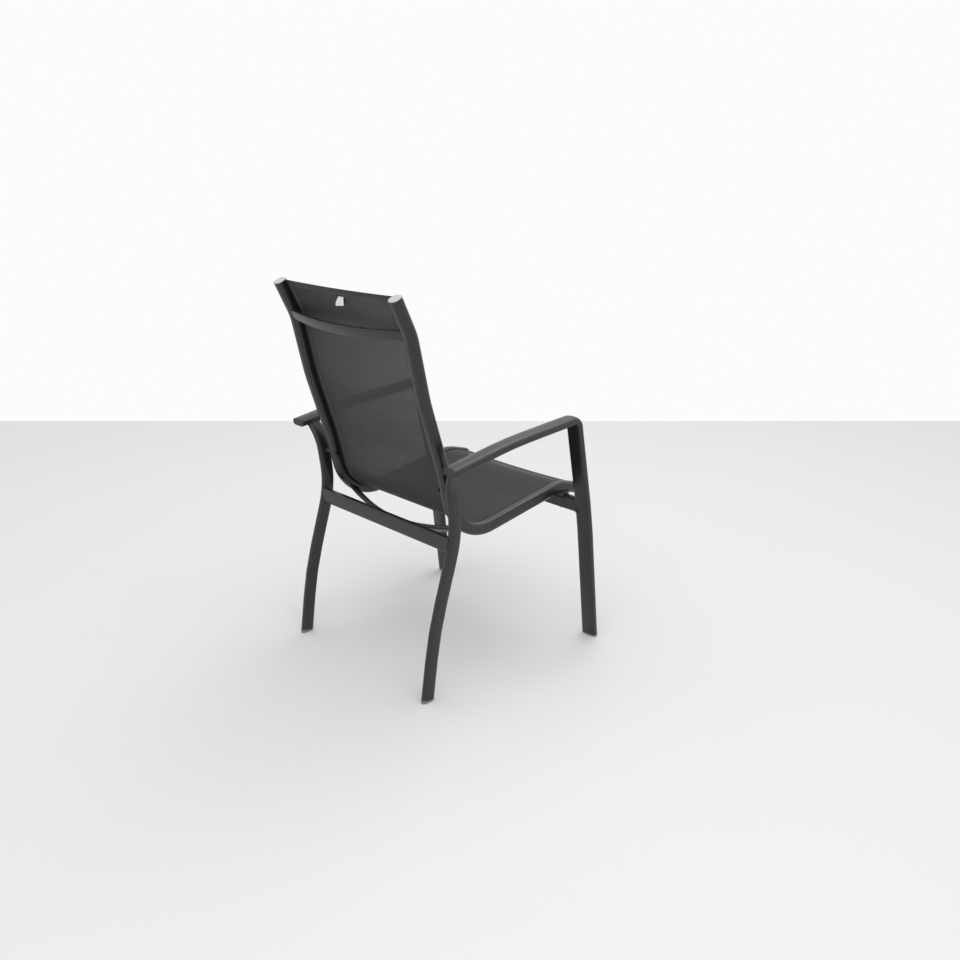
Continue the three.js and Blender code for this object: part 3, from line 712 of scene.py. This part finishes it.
def moulded_plastic(n, setting, roughness):
    """Matt moulded plastic with a fine spark-eroded grain and scuffs."""
    plastic = getattr(settings("fittings"), setting)
    place = n.place()
    grain = n.effect("Coat Grain", place, peel_scale=300.0, speckle_scale=2200.0)
    shade = n.mix(grain["Mottle"], grown(plastic, 0.92), grown(plastic, 1.05))
    shade = n.mix(n.times(grain["Speckle"], 0.2), shade, grown(plastic, 0.8))
    shade = n.mix(n.times(n.rubbed(place)["Rubbed"], 0.5), shade, grown(plastic, 0.6))
    n.fill(n.shader, {
        "Base Color": shade,
        "Roughness": n.ramp(grain["Speckle"], 0.0, 1.0, roughness - 0.05, roughness + 0.07),
    })
    n.bump(grain["Height"], 0.3, 0.0002)


def zinc_plate(n, dull, bright):
    """Zinc plating, clear or blackened, with a fine turned grain and dull patches."""
    grain = n.effect("Coat Grain", n.place(), peel_scale=900.0)
    n.fill(n.shader, {
        "Base Color": n.mix(grain["Mottle"], grown(dull), grown(bright)),
        "Roughness": n.ramp(grain["Speckle"], 0.0, 1.0, 0.28, 0.42),
        "Metallic": 1.0,
    })
    n.bump(grain["Height"], 0.2, 0.0001)


def sling_cloth(n, open_weave):
    """Coated yarns in plain weave, see-through between them in a single layer, with painted shade in the
    hollows where the yarns dip.
    """
    sling = settings("sling")
    laid = n.add("ShaderNodeUVMap", uv_map="UVMap").outputs["UV"]
    weave = n.effect("Sling Weave", laid, pitch=sling.yarn_pitch, hole=0.40)
    grain = n.effect("Coat Grain", n.place())
    shade = n.mix(n.times(weave["Weft"], 0.75), grown(sling.yarn), grown(sling.fleck))
    shade = n.mix(n.times(weave["Streak"], 0.4), shade, grown(sling.yarn, 0.82))
    # Painted shade: the yarn is darkened where the weave lies low, in the hollows between the yarns
    shade = n.mix(n.ramp(weave["Height"], 0.35, 0.9, 0.75, 0.0), shade, grown(sling.yarn, 0.45))
    n.fill(n.shader, {
        "Base Color": n.mix(n.times(grain["Mottle"], 0.25), shade, grown(sling.yarn, 1.2)),
        "Roughness": n.ramp(weave["Height"], 0.3, 1.0, 0.78, 0.55),
        "Specular IOR Level": 0.2, "Sheen Weight": 0.03, "Sheen Roughness": 0.5,
    })
    if open_weave:
        n.fill(n.shader, {"Alpha": n.math("SUBTRACT", 1.0, weave["Hole"])})
    n.bump(weave["Height"], 0.8, 0.0004)


def sewing_thread(n):
    """Twisted polyester thread, its twist drawn as painted highlight and painted shade."""
    thread = settings("sling").thread
    wave = n.add("ShaderNodeTexWave", bands_direction="DIAGONAL")
    twist = n.fill(wave, {"Vector": n.place(), "Scale": 900.0})["Fac"]
    # Painted highlight and shade: lighter and darker bands of the one thread colour along the twist
    n.fill(n.shader, {
        "Base Color": n.mix(twist, grown(thread, 0.8), grown(thread, 1.5)),
        "Roughness": n.ramp(twist, 0.0, 1.0, 0.45, 0.6),
    })


def label_satin(n):
    """Fine white satin ribbon, left blank."""
    label = settings("fittings").label
    satin = n.noise(n.place(), 1400.0)
    n.fill(n.shader, {
        "Base Color": n.mix(satin, grown(label, 0.93), grown(label, 1.05)),
        "Roughness": n.ramp(satin, 0.3, 0.7, 0.5, 0.65),
    })
    n.bump(satin, 0.3, 0.0001)


def floor_paint(n):
    """Pale matt floor with a slow drift of tone."""
    base = settings("stage").floor
    tone = n.noise(n.place(), 0.8)
    n.fill(n.shader, {
        "Base Color": n.mix(tone, grown(base, 0.99), grown(base, 1.01)),
        "Roughness": 0.9, "Specular IOR Level": 0.1,
    })


# Each finish has its material slot, its shading function and that function's values
FINISHES = {
    "Powder Coat": ("frame", powder_coat),
    "Coated Weld": ("frame", coated_weld),
    "Cap Plastic": ("light_plastic", moulded_plastic, "cap_plastic", 0.50),
    "Dark Plastic": ("dark_plastic", moulded_plastic, "dark_plastic", 0.42),
    "Glide Plastic": ("glide", moulded_plastic, "glide_plastic", 0.55),
    "Zinc Plate": ("zinc", zinc_plate, (0.50, 0.51, 0.52), (0.62, 0.62, 0.60)),
    "Black Zinc": ("zinc", zinc_plate, (0.030, 0.030, 0.032), (0.050, 0.050, 0.052)),
    "Sling Mesh": ("fabric", sling_cloth, True),
    "Sling Hem": ("fabric", sling_cloth, False),
    "Sewing Thread": ("fabric", sewing_thread),
    "Blank Label": ("fabric", label_satin),
    "Floor": (None, floor_paint),
}


def give_finish(obj, look):
    """Gives a piece its one finish, which is shaded the first time that it is asked for."""
    material = bpy.data.materials.get(look)
    if material is None:
        material = bpy.data.materials.new(look)
        material.use_nodes = True
        _, shade, *values = FINISHES[look]
        shade(Nodes(material.node_tree), *values)
    obj.data.materials.clear()
    obj.data.materials.append(material)


# The tubes

def crossbar_places():
    """Reach and mid height of the rear and the front crossbar."""
    places = {}
    for end, leg, behind in (("rear", REAR_LEG, REAR_CROSSBAR_BEHIND), ("front", ARM, 0.0)):
        height = CROSSBAR_MIDDLES[end]
        up = leg.distance_at_height(height, 0.0, leg.length)
        places[end] = (leg.frame_at(up)[0].y + behind, height)
    return places


class SLINGCHAIR_OT_arms(bpy.types.Operator):
    """Model the two arms with their front legs."""

    bl_idname = "sling_chair.arms"
    bl_label = "Arms and Front Legs"

    def execute(self, context):
        foot = settings("fittings").glide_height
        arm = oval_tube("arm_left", settings("tubes").arm(), ARM, foot, ARM.length)
        nose = ARM.frame_at(NOSE + 0.016)[0]
        hand = ARM.frame_at(NOSE + 0.17)[0]

        def rubbed(place):
            near_nose = 0.5 - beside(place, nose) / 0.05
            near_foot = 0.7 - place.z / 0.05
            under_hand = 0.35 - beside(place, hand) / 0.6
            return max(near_nose, near_foot, under_hand)

        rub(arm, rubbed)
        dress_pair(arm, "Powder Coat", "arm", "arm_and_front_leg")
        return {"FINISHED"}


class SLINGCHAIR_OT_rear_legs(bpy.types.Operator):
    """Model the two rear legs, which splay out to the arms at their tops."""

    bl_idname = "sling_chair.rear_legs"
    bl_label = "Rear Legs"

    def execute(self, context):
        foot = settings("fittings").glide_height
        leg = oval_tube("rear_leg_tube_left", settings("tubes").leg(), REAR_LEG, foot, REAR_LEG.length)
        rub(leg, lambda place: 0.8 - place.z / 0.06)
        dress_pair(leg, "Powder Coat", "rear_leg_tube", "rear_leg")
        return {"FINISHED"}


class SLINGCHAIR_OT_crossbars(bpy.types.Operator):
    """Model the crossbars between the rear legs and between the front legs."""

    bl_idname = "sling_chair.crossbars"
    bl_label = "Crossbars"

    def execute(self, context):
        tubes = settings("tubes")
        into_leg = 0.004
        short_of_arm_middle = 0.010
        half_lengths = {
            "rear": REAR_LEG_X - tubes.leg_thickness / 2.0 + into_leg,
            "front": ARM_X - short_of_arm_middle,
        }
        for end, place in crossbar_places().items():
            bar = straight_bar(end + "_crossbar_tube", tubes.crossbar(), half_lengths[end], place)
            rub(bar, 0.25)
            dress(bar, "Powder Coat", end + "_crossbar")
        return {"FINISHED"}


GROOVE_RISE = 0.0105


class SLINGCHAIR_OT_rails(bpy.types.Operator):
    """Model the two bent side rails with the groove that holds the cloth."""

    bl_idname = "sling_chair.rails"
    bl_label = "Side Rails"

    def execute(self, context):
        rail = section("rail_left", settings("tubes").rail(), RAIL.squareness, 64)
        half_mouth = 0.0015
        half_keyway = 0.0023
        reach = 0.0080
        floor = -reach - half_keyway
        edit(rail)
        for offset in (-half_keyway, -half_mouth, half_mouth, half_keyway):
            bpy.ops.mesh.select_all(action="SELECT")
            bpy.ops.mesh.bisect(plane_co=(0.0, GROOVE_RISE + offset, 0.0), plane_no=(0.0, 1.0, 0.0))
        for offset in (floor, -reach + half_keyway):
            bpy.ops.mesh.select_all(action="SELECT")
            bpy.ops.mesh.bisect(plane_co=(offset, 0.0, 0.0), plane_no=(1.0, 0.0, 0.0))
        leave_edit()

        def in_groove(centre, _):
            off = abs(centre.y - GROOVE_RISE)
            in_mouth = centre.x < floor and off < half_mouth
            return in_mouth or (abs(centre.x + reach) < half_keyway and off < half_keyway)

        select_faces(rail, in_groove)
        bpy.ops.mesh.delete(type="FACE")
        leave_edit()
        stand(rail, RAIL.frame_at(0.0), RAIL_X)
        draw_out(rail, RAIL, 0.0, RAIL.length)
        low = RAIL.frame_at(LAP_MIDDLE)[0]
        rub(rail, lambda place: 0.5 - beside(place, low) / 0.25)
        dress_pair(rail, "Powder Coat", "rail", "sling_rail")
        return {"FINISHED"}


class SLINGCHAIR_OT_braces(bpy.types.Operator):
    """Model the three bowed braces that keep the rails apart."""

    bl_idname = "sling_chair.braces"
    bl_label = "Braces"

    def execute(self, context):
        short_of_rail_middle = 0.004
        half = RAIL_X - short_of_rail_middle
        for name, distance, bow in BRACES:
            point, tangent, normal, _ = RAIL.frame_at(distance)
            centre = point - normal * BRACE_SET_BACK
            chord_bow = bow * (half / RAIL_X) ** 2
            drop = bow - chord_bow
            radius = (half ** 2 + chord_bow ** 2) / (2.0 * chord_bow)
            sweep = 2.0 * math.asin(half / radius)
            brace = section(name + "_brace_bar", BRACE_SIZE, BRACE_SQUARENESS)
            start = centre - normal * drop - ACROSS * half
            ahead = Matrix.Rotation(sweep / 2.0, 3, tangent) @ ACROSS
            if ahead.dot(normal) > 0.0:
                ahead = Matrix.Rotation(-sweep / 2.0, 3, tangent) @ ACROSS
            stand(brace, (start, ahead, ahead.cross(tangent), tangent))
            pivot = centre - normal * (drop + chord_bow - radius)
            edit(brace)
            spin(28, -sweep, pivot, ahead.cross(pivot - start).normalized())
            close_up(brace)
            rub(brace, 0.15)
            dress(brace, "Powder Coat", name + "_brace")
        return {"FINISHED"}


class SLINGCHAIR_OT_welds(bpy.types.Operator):
    """Lay weld beads round the joints of the frame tubes."""

    bl_idname = "sling_chair.welds"
    bl_label = "Weld Beads"

    def execute(self, context):
        tubes = settings("tubes")
        grow = 2.0 * tubes.weld_size
        places = crossbar_places()
        beside_crossbar = (0.34, 0.50)
        leg_top = (0.52, REAR_LEG.length)
        arm_end = (0.80, ARM.length)
        short_of_arm_middle = 0.012

        def leg(stretch):
            return oval_tube("leg_grown", tubes.leg(grow), REAR_LEG, *stretch)

        def arm(stretch):
            return oval_tube("arm_grown", tubes.arm(grow), ARM, *stretch)

        def bar(end, half_length):
            return straight_bar("bar_grown", tubes.crossbar(grow), half_length, places[end])

        joints = (
            ("rear_crossbar_weld", leg(beside_crossbar), bar("rear", REAR_LEG_X)),
            ("front_crossbar_weld", arm(beside_crossbar), bar("front", ARM_X - short_of_arm_middle)),
            ("arm_weld", leg(leg_top), arm(arm_end)),
        )
        for stem, bead, other in joints:
            cut(bead, other, "INTERSECT")
            named(bead, stem + "_left")
            apply_modifier(bead, "REMESH", mode="VOXEL", voxel_size=0.0008)
            apply_modifier(bead, "SMOOTH", factor=0.6, iterations=5)
            dress_pair(bead, "Coated Weld", stem, angle=80.0)
        return {"FINISHED"}


# The sling

def sling_half_width():
    """From the chair's middle to the cloth's edge, which lies a gap short of the spline rod."""
    rail_depth = 33.0
    lip = 2.2
    bore = 7.0
    spline = 4.6
    rise_share = GROOVE_RISE / MM / (rail_depth / 2.0)
    width_share = (1.0 - rise_share ** RAIL.squareness) ** (1.0 / RAIL.squareness)
    spline_middle = RAIL_HALF_WIDTH / MM * width_share - lip - bore / 2.0
    return RAIL_X - (spline_middle + spline / 2.0) * MM - GAP


def cloth_point(x, distance, lift):
    """A point of the cloth: across the chair, along the rails, and lifted off its middle plane."""
    point, _, normal, _ = RAIL.frame_at(distance)
    taut_reach = 0.120
    slack = 1.0 - math.exp(-(((distance - LAP_MIDDLE) / taut_reach) ** 2))
    hang = settings("sling").sag * slack * (1.0 - (x / sling_half_width()) ** 2)
    return point + normal * (GROOVE_RISE - hang + lift) + ACROSS * x


def cloth_strip(name, across, along, steps, lift, thickness):
    """A piece of cloth on the sling's surface, as a grid with its weave's own coordinates."""
    deselect()
    bpy.ops.mesh.primitive_grid_add(x_subdivisions=steps[0], y_subdivisions=steps[1], size=1.0)
    cloth = named(bpy.context.object, name)
    places = []
    for vertex in cloth.data.vertices:
        x = across[0] + (across[1] - across[0]) * (vertex.co.x + 0.5)
        distance = along[0] + (along[1] - along[0]) * (vertex.co.y + 0.5)
        places.append((x, distance))
        vertex.co = cloth_point(x, distance, lift)
    # The weave's own coordinates are metres, moved along so that none is negative
    weave = cloth.data.uv_layers["UVMap"].data
    for loop in cloth.data.loops:
        x, distance = places[loop.vertex_index]
        weave[loop.index].uv = (x + 0.3, distance + 0.1)
    return apply_modifier(cloth, "SOLIDIFY", thickness=thickness, offset=0.0)


def hem_lifts(sling):
    """How far behind the mesh the side hems and the end hems lie."""
    touching = -(sling.mesh_thickness + sling.hem_thickness) / 2.0
    side = touching - 0.0001
    return side, side - 0.0004


class SLINGCHAIR_OT_sling(bpy.types.Operator):
    """Stretch the mesh sling between the rails, with its doubled side and end hems."""

    bl_idname = "sling_chair.sling"
    bl_label = "Sling"

    def execute(self, context):
        sling = settings("sling")
        half = sling_half_width()
        end = RAIL.length
        sheet = cloth_strip("sling_sheet", (-half, half), (0.0, end), (40, 190), 0.0, sling.mesh_thickness)
        dress(sheet, "Sling Mesh", "sling_fabric", angle=60.0)
        inset = half - sling.side_hem
        inner = inset + 0.002
        side_lift, end_lift = hem_lifts(sling)
        strips = (
            ("side_hem_left", (inset, half), (0.0, end), (6, 190), side_lift),
            ("side_hem_right", (-half, -inset), (0.0, end), (6, 190), side_lift),
            ("top_hem", (-inner, inner), (end - sling.end_hem, end), (40, 5), end_lift),
            ("front_hem", (-inner, inner), (0.0, sling.front_hem), (40, 6), end_lift),
        )
        hems = [cloth_strip(*strip, sling.hem_thickness) for strip in strips]
        for hem in hems:
            dress(hem, "Sling Hem", angle=60.0)
        return {"FINISHED"}


class SLINGCHAIR_OT_stitching(bpy.types.Operator):
    """Sew the hems: one modelled stitch, copied along every seam."""

    bl_idname = "sling_chair.stitching"
    bl_label = "Stitching"

    def rows(self, sling):
        """Places of the stitches: across, along, and whether they run across the chair."""
        end = RAIL.length
        inset = sling_half_width() - sling.side_hem
        pitch = sling.stitch_pitch
        near_edge = 0.002
        second_row = 0.008
        end_margin = 0.004
        rows = []
        for x in (inset + near_edge, inset + second_row):
            for sense in (-1.0, 1.0):
                count = int((end - 2.0 * end_margin) / pitch)
                rows += [(sense * x, end_margin + pitch * step, False) for step in range(count)]
        top = end - sling.end_hem
        front = sling.front_hem
        first = -inset + end_margin
        count = int(2.0 * (inset - end_margin) / pitch)
        for distance in (top + near_edge, front - near_edge, front - second_row, end_margin):
            rows += [(first + pitch * (step + 0.5), distance, True) for step in range(count)]
        return rows

    def execute(self, context):
        sling = settings("sling")
        half_wide = 0.0005
        half_thick = 0.0004
        proud = 0.0001
        deselect()
        bpy.ops.mesh.primitive_uv_sphere_add(segments=6, ring_count=4, radius=1.0)
        stitch = bpy.context.object
        corners = np.array([vertex.co for vertex in stitch.data.vertices])
        faces = [tuple(face.vertices) for face in stitch.data.polygons]
        remove(stitch)
        points = []
        polygons = []
        for x, distance, crosswise in self.rows(sling):
            _, tangent, normal, _ = RAIL.frame_at(distance)
            run = ACROSS if crosswise else tangent
            half_long = sling.stitch_pitch * 0.42
            axes = np.array([run * half_long, run.cross(normal) * half_wide, normal * half_thick])
            behind = hem_lifts(sling)[1 if crosswise else 0] - sling.hem_thickness / 2.0
            for lift in (sling.mesh_thickness / 2.0 + proud, behind - proud):
                first = len(points) * len(corners)
                points.append(corners @ axes + np.array(cloth_point(x, distance, lift)))
                polygons += [tuple(first + each for each in face) for face in faces]
        mesh = bpy.data.meshes.new("stitching")
        mesh.from_pydata(np.concatenate(points).tolist(), [], polygons)
        seam = bpy.data.objects.new("stitching", mesh)
        context.scene.collection.objects.link(seam)
        close_up(seam)
        dress(seam, "Sewing Thread", angle=180.0)
        return {"FINISHED"}


class SLINGCHAIR_OT_label(bpy.types.Operator):
    """Hang the blank cloth tab from the seam of the top hem."""

    bl_idname = "sling_chair.label"
    bl_label = "Blank Label"

    def execute(self, context):
        sling = settings("sling")
        clear_of_stitches = 0.0006
        behind = hem_lifts(sling)[1] - sling.hem_thickness / 2.0 - clear_of_stitches
        below_top = 0.0207
        off_middle = -0.013
        top_half_width = 0.0105
        flare = 0.0065
        drift = 0.0026
        height = 0.0201
        slant = 0.0041
        curl = 0.0035
        wave = 0.0012
        top = cloth_point(off_middle, RAIL.length - below_top, behind)
        deselect()
        bpy.ops.mesh.primitive_grid_add(x_subdivisions=12, y_subdivisions=12, size=1.0)
        label = named(bpy.context.object, "blank_label")
        for vertex in label.data.vertices:
            across = vertex.co.x + 0.5
            down = 0.5 - vertex.co.y
            half_width = top_half_width + flare * min(1.0, down * 1.3)
            x = top.x + drift * down + (2.0 * across - 1.0) * half_width
            bow = curl * math.sin(down * 2.2) + wave * math.sin(across * 3.1) * down
            vertex.co = Vector((x, top.y + bow, top.z - (height + slant * across) * down))
        apply_modifier(label, "SOLIDIFY", thickness=0.0005, offset=0.0)
        bevel_edges(label, 0.00015, 2, 60.0)
        dress(label, "Blank Label", angle=60.0)
        return {"FINISHED"}


# Caps, plugs and feet

class SLINGCHAIR_OT_rail_caps(bpy.types.Operator):
    """Model the light caps on the top and front ends of the rails."""

    bl_idname = "sling_chair.rail_caps"
    bl_label = "Rail Caps"

    def execute(self, context):
        size = settings("tubes").rail(-0.001)
        outer = GAP + settings("fittings").cap_thickness
        for stem, distance, outward in (("top_cap", RAIL.length, 1.0), ("front_cap", 0.0, -1.0)):
            cap = end_plate(stem + "_left", size, RAIL, distance, outward * GAP, outward * outer)
            outwards = RAIL.frame_at(distance)[1] * outward
            inset_faces(cap, outwards, (0.004, 0.0008), (0.006, 0.0004))
            bevel_edges(cap, 0.0009)
            rub(cap, 0.35)
            dress_pair(cap, "Cap Plastic", stem, "rail_" + stem)
        return {"FINISHED"}


class SLINGCHAIR_OT_arm_plugs(bpy.types.Operator):
    """Model the plugs in the rear ends of the arms."""

    bl_idname = "sling_chair.arm_plugs"
    bl_label = "Arm End Plugs"

    def execute(self, context):
        outer = GAP + settings("fittings").cap_thickness
        plug = end_plate("arm_plug_left", settings("tubes").arm(), ARM, ARM.length, GAP, outer)
        inset_faces(plug, ARM.frame_at(ARM.length)[1], (0.0022, 0.0), (0.0006, -0.0016))
        bevel_edges(plug, 0.0007)
        rub(plug, 0.3)
        dress_pair(plug, "Dark Plastic", "arm_plug", "arm_end_plug")
        return {"FINISHED"}


class SLINGCHAIR_OT_glides(bpy.types.Operator):
    """Model the plastic feet, cut level with the floor."""

    bl_idname = "sling_chair.glides"
    bl_label = "Glides"

    def execute(self, context):
        tubes = settings("tubes")
        height = settings("fittings").glide_height
        for end, tube, size in (("front", ARM, tubes.arm()), ("rear", REAR_LEG, tubes.leg())):
            foot = end_plate(end + "_foot_left", size, tube, 0.0, -height, height - GAP)
            edit(foot)
            bpy.ops.mesh.bisect(plane_co=(0.0, 0.0, 0.0), plane_no=(0.0, 0.0, 1.0),
                                use_fill=True, clear_inner=True)
            close_up(foot)
            bevel_edges(foot, 0.0008)
            rub(foot, lambda place: 1.0 - place.z / 0.01)
            dress_pair(foot, "Glide Plastic", end + "_foot", end + "_glide")
        return {"FINISHED"}


# Hardware

def bolt_place():
    """Reach and height of the bolts between rails and rear legs."""
    height = 0.552
    behind_rail_middle = 0.008
    distance = RAIL.distance_at_height(height, LAP_START, RAIL.length)
    return RAIL.frame_at(distance)[0].y + behind_rail_middle, height


class SLINGCHAIR_OT_bolts(bpy.types.Operator):
    """Model the button-head bolts and the spacers between rails and rear legs."""

    bl_idname = "sling_chair.bolts"
    bl_label = "Bolts and Spacers"

    def execute(self, context):
        place = bolt_place()
        head_height = 0.0045
        socket_depth = 0.0024
        overrun = 0.0015
        inside_leg = 0.0098
        washer = 0.0012
        leg_face = REAR_LEG_X - 0.009
        seat = RAIL_X - RAIL_HALF_WIDTH - GAP
        top = seat - head_height
        bolt = round_across("bolt_left", top, seat, place, radius=0.0065, sides=36)
        inset_faces(bolt, -ACROSS, (0.0012, 0.0))
        bevel_edges(bolt, 0.0014, 4, 60.0)
        socket = (top - overrun, top + socket_depth)
        cut(bolt, round_across("socket_cut", *socket, place, radius=0.0025, sides=6))
        thread = (seat - 0.0005, leg_face + inside_leg)
        shank = round_across("shank", *thread, place, radius=0.003, sides=24)
        pick(bolt)
        shank.select_set(True)
        bpy.ops.object.join()
        dress_pair(bolt, "Black Zinc", "bolt", "frame_bolt")
        start = RAIL_X + RAIL_HALF_WIDTH + GAP
        end = leg_face - 0.0015
        spacer = round_across("spacer_left", start + washer, end - washer, place, radius=0.0062)
        bevel_edges(spacer, 0.0009)
        rub(spacer, 0.2)
        dress_pair(spacer, "Dark Plastic", "spacer", "frame_spacer")
        for stem, inner in (("rail_washer", start), ("leg_washer", end - washer)):
            disc = round_across(stem + "_left", inner, inner + washer, place, radius=0.0070)
            bevel_edges(disc, 0.0003, 2)
            dress_pair(disc, "Zinc Plate", stem)
        return {"FINISHED"}


class SLINGCHAIR_OT_saddles(bpy.types.Operator):
    """Model the recessed saddles that carry the rails on the front crossbar."""

    bl_idname = "sling_chair.saddles"
    bl_label = "Rail Saddles"

    def execute(self, context):
        tubes = settings("tubes")
        low, high = (Vector(corner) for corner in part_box("rail_saddle_left"))
        clearance = 0.0004
        past_saddle = 0.30
        deselect()
        bpy.ops.mesh.primitive_cube_add(size=1.0, location=(low + high) / 2.0, scale=high - low)
        saddle = settle(named(bpy.context.object, "saddle_left"))
        inset_faces(saddle, BACK, (0.0045, 0.0), (0.0008, -0.0016), both_ways=True)
        bevel_edges(saddle, 0.0011)
        cut(saddle, oval_tube("rail_cut", tubes.rail(clearance), RAIL, 0.0, past_saddle))
        cut(saddle, straight_bar("bar_cut", tubes.crossbar(clearance), ARM_X, crossbar_places()["front"]))
        rub(saddle, 0.2)
        dress_pair(saddle, "Dark Plastic", "saddle", "rail_saddle", 30.0)
        return {"FINISHED"}


class SLINGCHAIR_OT_hidden_hardware(bpy.types.Operator):
    """Finish the rods, pins, nuts and screws that keep their plain solids."""

    bl_idname = "sling_chair.hidden_hardware"
    bl_label = "Rods, Pins and Screws"

    def execute(self, context):
        looks = {
            "spline_rod": "Dark Plastic", "rivet_nut": "Zinc Plate", "saddle_screw": "Zinc Plate",
            "back_brace_pin": "Black Zinc", "seat_rear_brace_pin": "Black Zinc",
            "seat_front_brace_pin": "Black Zinc",
        }
        for stem, look in looks.items():
            for side in SIDES:
                give_finish(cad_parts[stem + "_" + side], look)
        return {"FINISHED"}


# The stage

CAMERA_PLACE = Vector((-1.99154, 1.73227, 1.36079))
CAMERA_TILT = math.radians(71.557)
CAMERA_TURN = math.radians(-133.72)


class SLINGCHAIR_OT_stage(bpy.types.Operator):
    """Lay the floor, set the light and place the camera."""

    bl_idname = "sling_chair.stage"
    bl_label = "Stage"

    def execute(self, context):
        stage = settings("stage")
        self.lay_floor()
        self.set_world(context.scene, stage)
        self.set_lamps(stage)
        self.set_camera(context.scene, stage)
        context.scene.view_settings.view_transform = "Standard"
        return {"FINISHED"}

    def lay_floor(self):
        """A square floor that ends in a line ahead of the camera, where a wall would stand."""
        to_wall = 5.09
        size = 28.0
        ahead = Vector((-math.sin(CAMERA_TURN), math.cos(CAMERA_TURN), 0.0))
        middle = CAMERA_PLACE * Vector((1.0, 1.0, 0.0)) + ahead * (to_wall - size / 2.0)
        deselect()
        bpy.ops.mesh.primitive_plane_add(size=size, location=middle, rotation=(0.0, 0.0, CAMERA_TURN))
        floor = settle(named(bpy.context.object, "floor"))
        edit(floor)
        bpy.ops.mesh.subdivide(number_cuts=6)
        leave_edit()
        give_finish(floor, "Floor")

    def set_world(self, scene, stage):
        """Even light all round, before a white backdrop that camera, glass and gloss see."""
        world = bpy.data.worlds.new("Even Light")
        scene.world = world
        world.use_nodes = True
        world.node_tree.nodes.clear()
        n = Nodes(world.node_tree)
        path = n.add("ShaderNodeLightPath").outputs
        seen = n.math("MAXIMUM", path["Is Camera Ray"], path["Is Transmission Ray"])
        seen = n.math("MAXIMUM", seen, path["Is Glossy Ray"])
        lights = []
        for sky, strength in (((0.97, 0.985, 1.0, 1.0), stage.ambient), ((0.975, 0.975, 0.98, 1.0), 1.0)):
            light = n.add("ShaderNodeBackground")
            lights.append(n.fill(light, {"Color": sky, "Strength": strength})[0])
        either = n.fill(n.add("ShaderNodeMixShader"), {0: seen, 1: lights[0], 2: lights[1]})[0]
        n.fill(n.add("ShaderNodeOutputWorld"), {"Surface": either})

    def set_lamps(self, stage):
        lamps = (
            ("overhead_light", (-1.5, 1.1, 3.0), 3.0, stage.key * 0.8),
            ("panel_light", (0.50, -1.60, 3.4), 1.5, stage.key * 0.5),
        )
        for name, place, size, power in lamps:
            deselect()
            bpy.ops.object.light_add(type="AREA", location=place)
            lamp = bpy.context.object
            lamp.name = name
            lamp.data.size = size
            lamp.visible_camera = False
            lamp.data.energy = power
            aim = Vector((0.0, 0.0, 0.5)) - Vector(place)
            lamp.rotation_euler = aim.to_track_quat("-Z", "Y").to_euler()

    def set_camera(self, scene, stage):
        deselect()
        bpy.ops.object.camera_add(location=CAMERA_PLACE, rotation=(CAMERA_TILT, 0.0, CAMERA_TURN))
        camera = bpy.context.object
        camera.name = "camera"
        camera.data.sensor_width = 36.0
        camera.data.lens = stage.lens / MM
        scene.camera = camera


STEPS = (
    SLINGCHAIR_OT_stage,
    SLINGCHAIR_OT_arms,
    SLINGCHAIR_OT_rear_legs,
    SLINGCHAIR_OT_crossbars,
    SLINGCHAIR_OT_rails,
    SLINGCHAIR_OT_braces,
    SLINGCHAIR_OT_welds,
    SLINGCHAIR_OT_sling,
    SLINGCHAIR_OT_stitching,
    SLINGCHAIR_OT_label,
    SLINGCHAIR_OT_rail_caps,
    SLINGCHAIR_OT_arm_plugs,
    SLINGCHAIR_OT_glides,
    SLINGCHAIR_OT_bolts,
    SLINGCHAIR_OT_saddles,
    SLINGCHAIR_OT_hidden_hardware,
)
SETTINGS = (
    ("tubes", SlingChairTubeSettings),
    ("sling", SlingChairSlingSettings),
    ("fittings", SlingChairFittingSettings),
    ("stage", SlingChairStageSettings),
)


class SLINGCHAIR_PT_panel(bpy.types.Panel):
    """Lists the settings and the steps that build the chair."""

    bl_idname = "SLINGCHAIR_PT_panel"
    bl_label = "Sling Chair"
    bl_space_type = "VIEW_3D"
    bl_region_type = "UI"
    bl_category = "Sling Chair"

    def draw(self, context):
        for part, group in SETTINGS:
            box = self.layout.box()
            box.label(text=part.title())
            for name in group.__annotations__:
                box.prop(settings(part), name)
        for step in STEPS:
            self.layout.operator(step.bl_idname)


def register():
    for part, group in SETTINGS:
        bpy.utils.register_class(group)
        setattr(bpy.types.Scene, "sling_chair_" + part, PointerProperty(type=group))
    for step in STEPS:
        bpy.utils.register_class(step)
    bpy.utils.register_class(SLINGCHAIR_PT_panel)


def unregister():
    bpy.utils.unregister_class(SLINGCHAIR_PT_panel)
    for step in reversed(STEPS):
        bpy.utils.unregister_class(step)
    for part, group in reversed(SETTINGS):
        delattr(bpy.types.Scene, "sling_chair_" + part)
        bpy.utils.unregister_class(group)


def main():
    register()
    bpy.ops.sling_chair.stage()
    bpy.ops.sling_chair.arms()
    bpy.ops.sling_chair.rear_legs()
    bpy.ops.sling_chair.crossbars()
    bpy.ops.sling_chair.rails()
    bpy.ops.sling_chair.braces()
    bpy.ops.sling_chair.welds()
    bpy.ops.sling_chair.sling()
    bpy.ops.sling_chair.stitching()
    bpy.ops.sling_chair.label()
    bpy.ops.sling_chair.rail_caps()
    bpy.ops.sling_chair.arm_plugs()
    bpy.ops.sling_chair.glides()
    bpy.ops.sling_chair.bolts()
    bpy.ops.sling_chair.saddles()
    bpy.ops.sling_chair.hidden_hardware()
    deselect()


if __name__ == "__main__":
    main()
